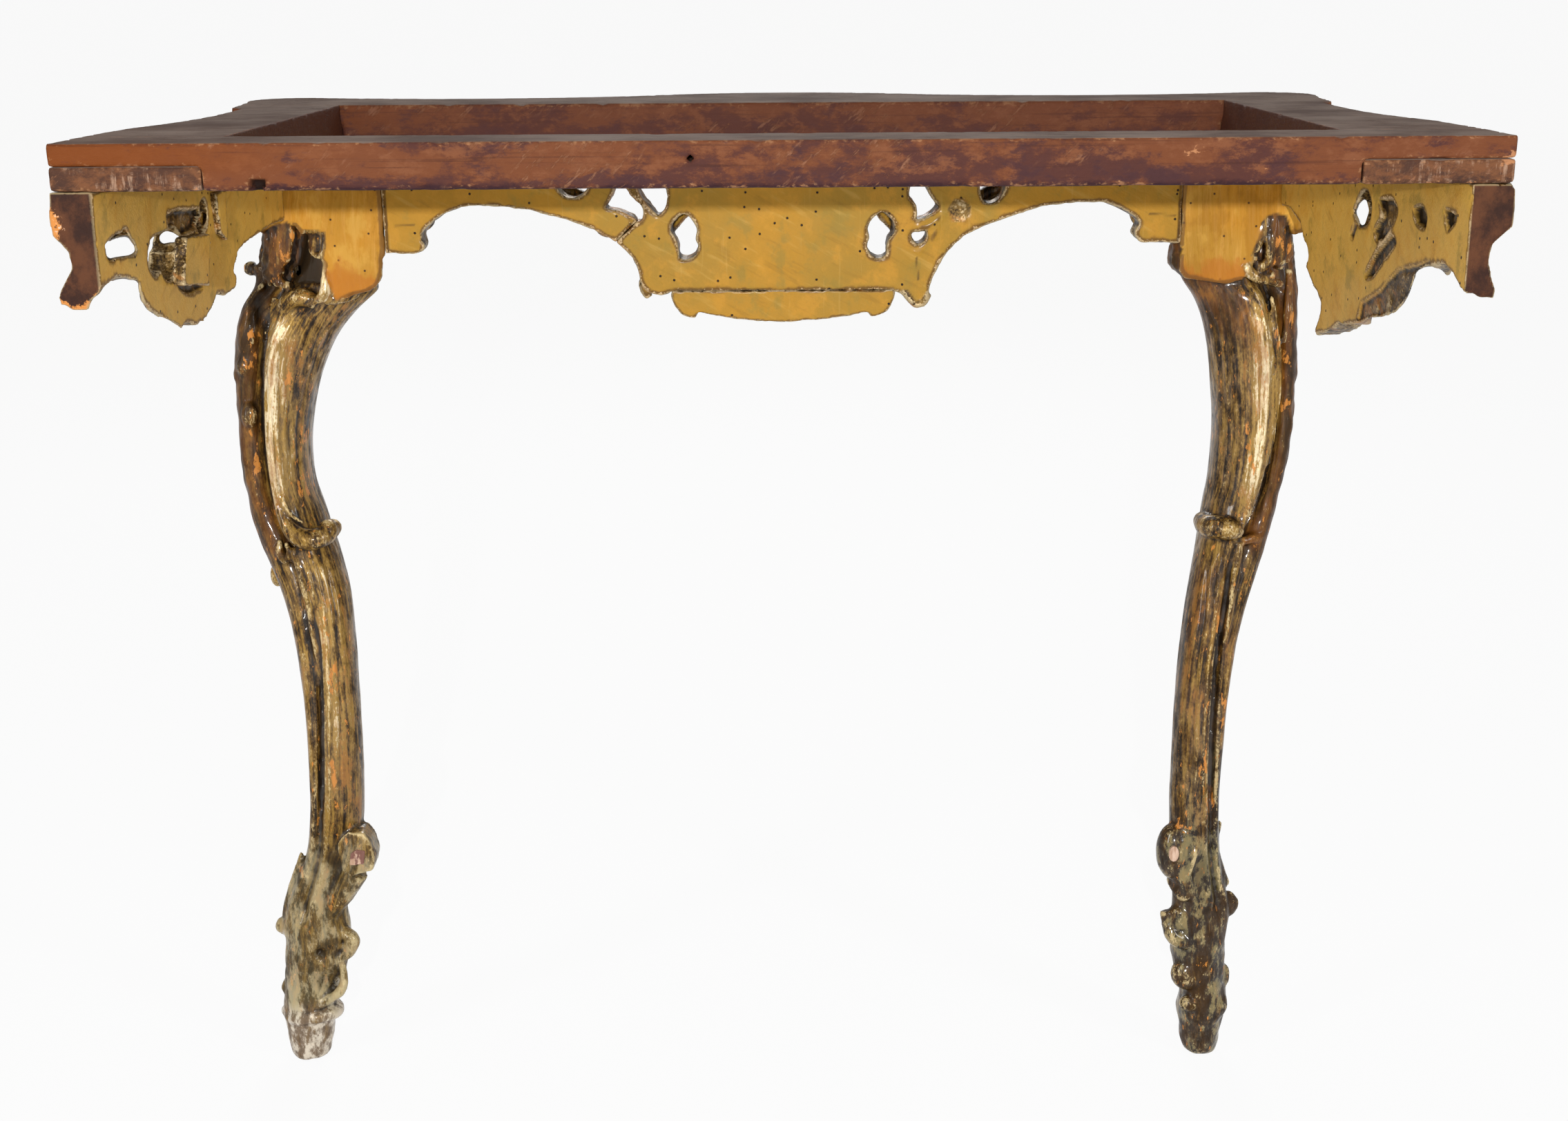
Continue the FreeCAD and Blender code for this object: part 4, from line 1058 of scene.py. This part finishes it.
# Openings that lean towards the carved outer face: how far they lean, and their outline on the inner face,
# as (depth, height); then the hollows cut into the inner face, each with its depth
side_openings = {
    "left_side_apron": [
        (2.75, [(246, 817), (234, 818), (207, 817), (197, 811), (192, 804), (206, 803.5), (230, 806),
                (246, 806)]),
        (3.0, [(150, 808), (138, 810), (125, 809), (114, 806), (101, 801), (116, 799.5), (132, 801),
               (149, 803)]),
        (3.18, [(47, 817), (45, 808), (52, 801), (60, 798), (59, 807), (53, 814)]),
        (2.8, [(281.5, 784), (271, 787.6), (261, 790.5), (249, 792.6), (234, 792.5), (216, 791),
               (201, 787), (194, 784), (193, 778), (190, 771.5), (178.5, 763), (160, 756), (141, 750),
               (127, 744.5), (117, 739), (117, 715), (281.5, 715)])],
    "right_side_apron": [
        (3.15, [(60, 820), (71, 811), (62, 799), (54, 796), (47, 801), (38, 806), (44, 813)]),
        (2.8, [(264, 780), (256, 782.5), (246, 785), (234.5, 787.5), (222.5, 790.5), (208.5, 791.5),
               (192.5, 790), (179, 786), (171.5, 782), (169.5, 777), (165, 771), (159, 764), (148, 756),
               (139, 750.5), (114, 743), (87, 738), (87, 715), (264, 715)])],
}
side_hollows = {
    "left_side_apron": [([(159, 800), (128, 799), (101, 797), (103, 790), (110, 783), (161, 788)], 6),
                        ([(125, 819), (100, 819), (54, 814), (59, 804), (90, 802), (105, 804),
                          (124, 812)], 4),
                        ([(118, 775), (114, 769), (94, 761), (65, 761), (78, 768), (96, 771)], 3),
                        ([(92, 762), (62, 790), (58, 788), (84, 760)], 2)],
    "right_side_apron": [([(87, 820), (113, 823), (125, 818), (117, 808), (101, 796), (88, 793),
                           (81, 798), (95, 809)], 4),
                         ([(153, 821), (167, 825), (178, 819), (175, 812), (160, 814)], 4),
                         ([(207, 827), (227, 827), (224, 822), (214, 816)], 3),
                         ([(114, 799), (125, 796), (104, 782), (83, 766), (69, 764), (87, 783)], 4),
                         ([(38, 797), (30, 788), (36, 786), (46, 798)], 2),
                         ([(189, 793), (166, 786), (132, 778), (99, 758), (65, 744), (60, 730),
                           (120, 730), (170, 750), (190, 770)], 2)],
}
# The side aprons' wall ends have rounded tips: height, and how far the outer face stands out of the solid's
end_tips = {
    "left_side_apron": [(776, 3.0), (782, 3.8), (788, 5.0), (796, 4.0), (805, 3.0), (815, 2.0), (824, 0.0)],
    "right_side_apron": [(776, -3.0), (790, -2.0), (800, 0.0)],
}
# Dark lines of joints and cracks on the flat backs, as (across, up)
joint_lines = {
    "front_apron_left_wing": [[(124, 775), (136.6, 764)], [(111.4, 740), (118.4, 736)],
                              [(317, 777), (302, 777.5)], [(324.5, 848), (324.5, 755)]],
    "front_apron": [[(-110, 748), (-112, 730)], [(-324.5, 848), (-324.5, 755)], [(-300, 783), (-322, 782)],
                    [(88, 722), (-86, 721)]],
}
# Carving that shows past the flat back: three of the front's ribs, a leaf's tip, and the knot's outline
back_rolls = {
    "front_apron": [[(-103, -149, 771, 2), (-114, -148, 773, 3.5), (-122, -148, 775, 4),
                     (-130, -148, 782, 4), (-137, -149, 786, 2.5)],
                    [(-130, -149, 786, 2), (-127, -148, 774, 3.5), (-123, -148, 763, 3.5),
                     (-121, -149, 757, 2)],
                    [(-103, -149, 760, 2), (-109, -148, 752, 3), (-114, -148, 752, 3),
                     (-121, -149, 763, 2)],
                    [(-101, -149, 718, 2), (-108, -148, 708, 4), (-117, -149, 710, 3.5),
                     (-122, -150, 718, 2)]],
}
knot_outline = [(-154, 790), (-148, 797), (-140, 796), (-135, 788), (-139, 778), (-148, 777), (-154, 783)]
# A leaning opening is cut from the inner side of the board: where the cut starts, how far that is from the
# outline, how much higher it starts, how far it goes and how much it drops
cut_start, cut_lead, cut_lift, cut_reach, cut_drop = 400, 11, 4.2, 52, 20
# Behind this depth lie the boards' ends at the wall
wall_end = 0.244


def apron_piece(node, voxel, side, axis, rolls=()):
    """A pierced board with its flat face towards this side of this axis, joined to its rolls and worn."""
    board = cad_copy(node, node + "_carving")
    for lean, outline in side_openings.get(node, []):
        start_x = middle_x - side * cut_start * MM
        corners = [(start_x, (y + cut_lead * lean) * MM, (z + cut_lift) * MM) for y, z in outline]
        cutter = prism(corners, (-side * cut_reach * MM, -cut_reach * lean * MM, -cut_drop * MM))
        finish_modifier(board, "BOOLEAN", {"operation": "DIFFERENCE", "solver": "EXACT", "object": cutter})
        bpy.data.objects.remove(cutter)
    rolls = [*rolls, *rolls_of(1, back_rolls.get(node, []))]
    pick(board, *rolls)
    if rolls:
        bpy.ops.object.join()
    rasp(board, voxel * MM, 2)
    places = points_of(board)
    outward = abs(places[:, 0] - middle_x) / MM
    if node in end_tips:
        heights = places[:, 2] / MM
        near_wall = smooth_step(places[:, 1], 0.190, 0.235)
        shift = np.interp(heights, *zip(*end_tips[node])) * smooth_step(outward, 421, 430)
        corner = smooth_step(abs(outward + shift - 429), 3.5, 9) * smooth_step(heights, 787, 778)
        places[:, 0] -= side * shift * near_wall * MM
        places[:, 2] += 3.0 * corner * near_wall * MM
        move_points(board, places)
    normals = points_of(board, "normal")
    edges = edge_share(board, 6, 1.2 * MM)
    flat = smooth_step(side * normals[:, axis], 0.72, 0.92)
    seen = np.stack([(places[:, 0] - middle_x) / MM if axis else places[:, 1] / MM, places[:, 2] / MM], 1)
    sunk = np.zeros(len(places))
    for outline, depth in side_hollows.get(node, []):
        cut = within(seen + 1.2 * lumps(places, 7 * MM, 8.0)[:, None], outline, 2.5) * flat
        sunk = np.maximum(sunk, cut * depth)
    for row in back_rolls.get(node, [])[3:]:
        gap = line_gap(seen, [(x, z) for x, y, z, r in row])
        flat *= smooth_step(gap, 3.0, 5.0)
    if node == "front_apron":
        flat *= 1 - within(seen, knot_outline, 1.5)
    carved = (1 - flat) * (places[:, 1] < wall_end) + np.clip(sunk / 2, 0, 1)
    chips = np.clip(lumps(places, 7 * MM, 1.0) * 2.2 - 0.6, 0, 1) * np.clip(edges, 0, 1)
    rough_cut = 0.9 * lumps(places, 11 * MM, 5.0) + 0.7 * lumps(places, 5 * MM, 6.0)
    wavy = 0.45 * lumps(places, 24 * MM, 2.0)
    push_out(board, (wavy - 1.3 * chips + rough_cut * np.clip(carved, 0, 1) - sunk) * MM)
    store(board, "edge", edge_share(board, 6, 1.2 * MM))
    flat *= 1 - np.clip(sunk / 1.5, 0, 1)
    store(board, "flat", flat)
    # Painted light on the side aprons
    store(board, "side_apron_painted_light", np.full(len(places), 1.0 - axis))
    joint = np.zeros(len(places))
    for line in joint_lines.get(node, []):
        joint = np.maximum(joint, 1 - smooth_step(line_gap(seen, line), 0.2, 1.0))
    store(board, "joint", joint)
    store(board, "end", smooth_step(normals[:, 1], 0.6, 0.8) * (places[:, 1] > wall_end) * (axis == 0))
    knocked = oval(np.stack([outward, seen[:, 1]], 1), 442, 829, 9, 12) + bell((seen[:, 1] - 779) / 9, 1.0)
    store(board, "knocked", np.clip(knocked, 0, 1) * (1.0 if node == "left_side_apron" else 0.25))
    board.data.materials.append(ochre_back)
    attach(board, "root")
    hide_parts(node)


def front_rolls(rows):
    """Rolls on the apron's front: across, up, radius, and how far they stand out of its front face."""
    front_face = -172
    return [ridge([(spot(x, front_face - stand, z), r) for x, z, r, stand in row]) for row in rows]


def mirrored(rows):
    return [[(-x, *rest) for x, *rest in row] for row in rows]


left_wing_rolls = [
    [(324, 835, 4, 1), (290, 832, 5, 2), (240, 832, 5, 2), (210, 826, 4, 2), (185, 824, 4, 2),
     (165, 827, 4, 2), (150, 830, 4, 1)],
    [(318, 760, 5, 1), (304, 762, 6, 2), (302, 774, 5, 2), (310, 786, 4, 1), (320, 792, 3, 0)],
    [(290, 812, 2, 0), (262, 820, 5, 2), (228, 816, 4, 1), (205, 806, 2, 0)],
    [(270, 808, 2, 0), (246, 806, 4, 2), (222, 806, 3, 1), (205, 812, 2, 0)],
]
middle_rolls = [
    [(-130, 836, 4, 1), (-60, 838, 5, 2), (0, 838, 5, 2), (60, 838, 5, 2), (120, 836, 4, 1)],
]
cartouche_side_rolls = [
    [(96, 726, 3, 1), (104, 742, 5, 2), (100, 764, 6, 3), (84, 782, 6, 3), (70, 800, 5, 3),
     (66, 820, 3, 1)],
    [(112, 712, 4, 1), (118, 722, 6, 2), (112, 736, 5, 2), (104, 742, 3, 1)],
]
for row in cartouche_side_rolls:
    middle_rolls += [row, *mirrored([row])]
strip_rolls = [
    [(88, 716, 3, 1), (70, 707, 5, 2), (40, 703, 5, 2), (0, 702, 6, 3), (-40, 703, 5, 2), (-70, 707, 5, 2),
     (-88, 716, 3, 1)],
]
apron_piece("front_apron_left_wing", 1.4, 1, 1, front_rolls(left_wing_rolls))
apron_piece("front_apron", 1.6, 1, 1, front_rolls(mirrored(left_wing_rolls) + middle_rolls))
apron_piece("cartouche_strip", 1.2, 1, 1, front_rolls(strip_rolls))
apron_piece("left_side_apron", 1.5, -1, 0)
apron_piece("right_side_apron", 1.5, 1, 0)
apron_piece("left_side_block", 1.0, -1, 0)
apron_piece("left_side_cleat", 1.0, -1, 0)


# The front's carved work is one shell of seven lobes over the cartouche and a scrolled band on each wing.
# It is gilded like the legs, and worn through on its highest edges.
def gilded_piece(name, parts, node):
    """Join carved parts into one gilded piece without paint or hollows."""
    piece = parts[0]
    pick(*parts)
    bpy.ops.object.join()
    piece.name = name
    rasp(piece, 1.1 * MM, 2)
    places = points_of(piece)
    push_out(piece, 0.4 * MM * lumps(places, 9 * MM, 3.0))
    store(piece, "grain", places, "FLOAT_VECTOR")
    for finish in ("painted", "dark", "pale", "painted_highlight", "rub", "hollow"):
        store(piece, finish, np.zeros(len(places)))
    store(piece, "edge", edge_share(piece, 6, 1.0 * MM))
    piece.data.materials.append(aged_gilding)
    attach(piece, "root")
    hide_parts(node)


root = spot(0, -174, 731)
lobe_steps = ((0, 4), (0.026, 6.5), (0.052, 9), (0.064, 6))
lobes = []
for number in range(7):
    turn = math.radians(-66 + 22 * number)
    aim = Vector((math.sin(turn), 0, math.cos(turn)))
    lobes.append(ridge([(root + aim * reach, radius) for reach, radius in lobe_steps]))
lobes.append(ball(spot(0, -177, 732), (11, 8, 9)))
gilded_piece("shell_carving", lobes, "cartouche_shell")

scroll_band = [(147, -176, 774, 6), (152, -178, 786, 6), (175, -179, 800, 7), (212, -179, 806, 7),
               (255, -179, 801, 7), (288, -178, 788, 6), (302, -176, 778, 6)]
scroll_ends = [(146, -179, 774, 12, 7, 12), (302, -179, 780, 12, 7, 12)]
for side, name in ((1, "left_front_scroll"), (-1, "right_front_scroll")):
    gilded_piece(name + "_carving", rolls_of(side, [scroll_band]) + balls_of(side, scroll_ends), name)

# The stretcher's roots still hold their tenon's peg: a squared one on the left and a round one on the right
squared_peg = [(381, 227.5), (373, 226.5), (375, 213.5), (388, 212.5), (386, 224)]
turns = np.arange(12) * math.pi / 6
round_peg = [(-344 + 4.6 * math.sin(turn), 218 + 7.6 * math.cos(turn)) for turn in turns]
for node, outline, front in (("left_stub_plug", squared_peg, -126.6), ("right_stub_plug", round_peg, -127.6)):
    plug = slab(outline, -150, front)
    plug.name = node + "_end"
    rasp(plug, 0.6 * MM, 3)
    push_out(plug, 0.35 * MM * lumps(points_of(plug), 5 * MM, 2.0))
    plug.data.materials.append(bare_wood)
    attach(plug, "root")
    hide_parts(node)
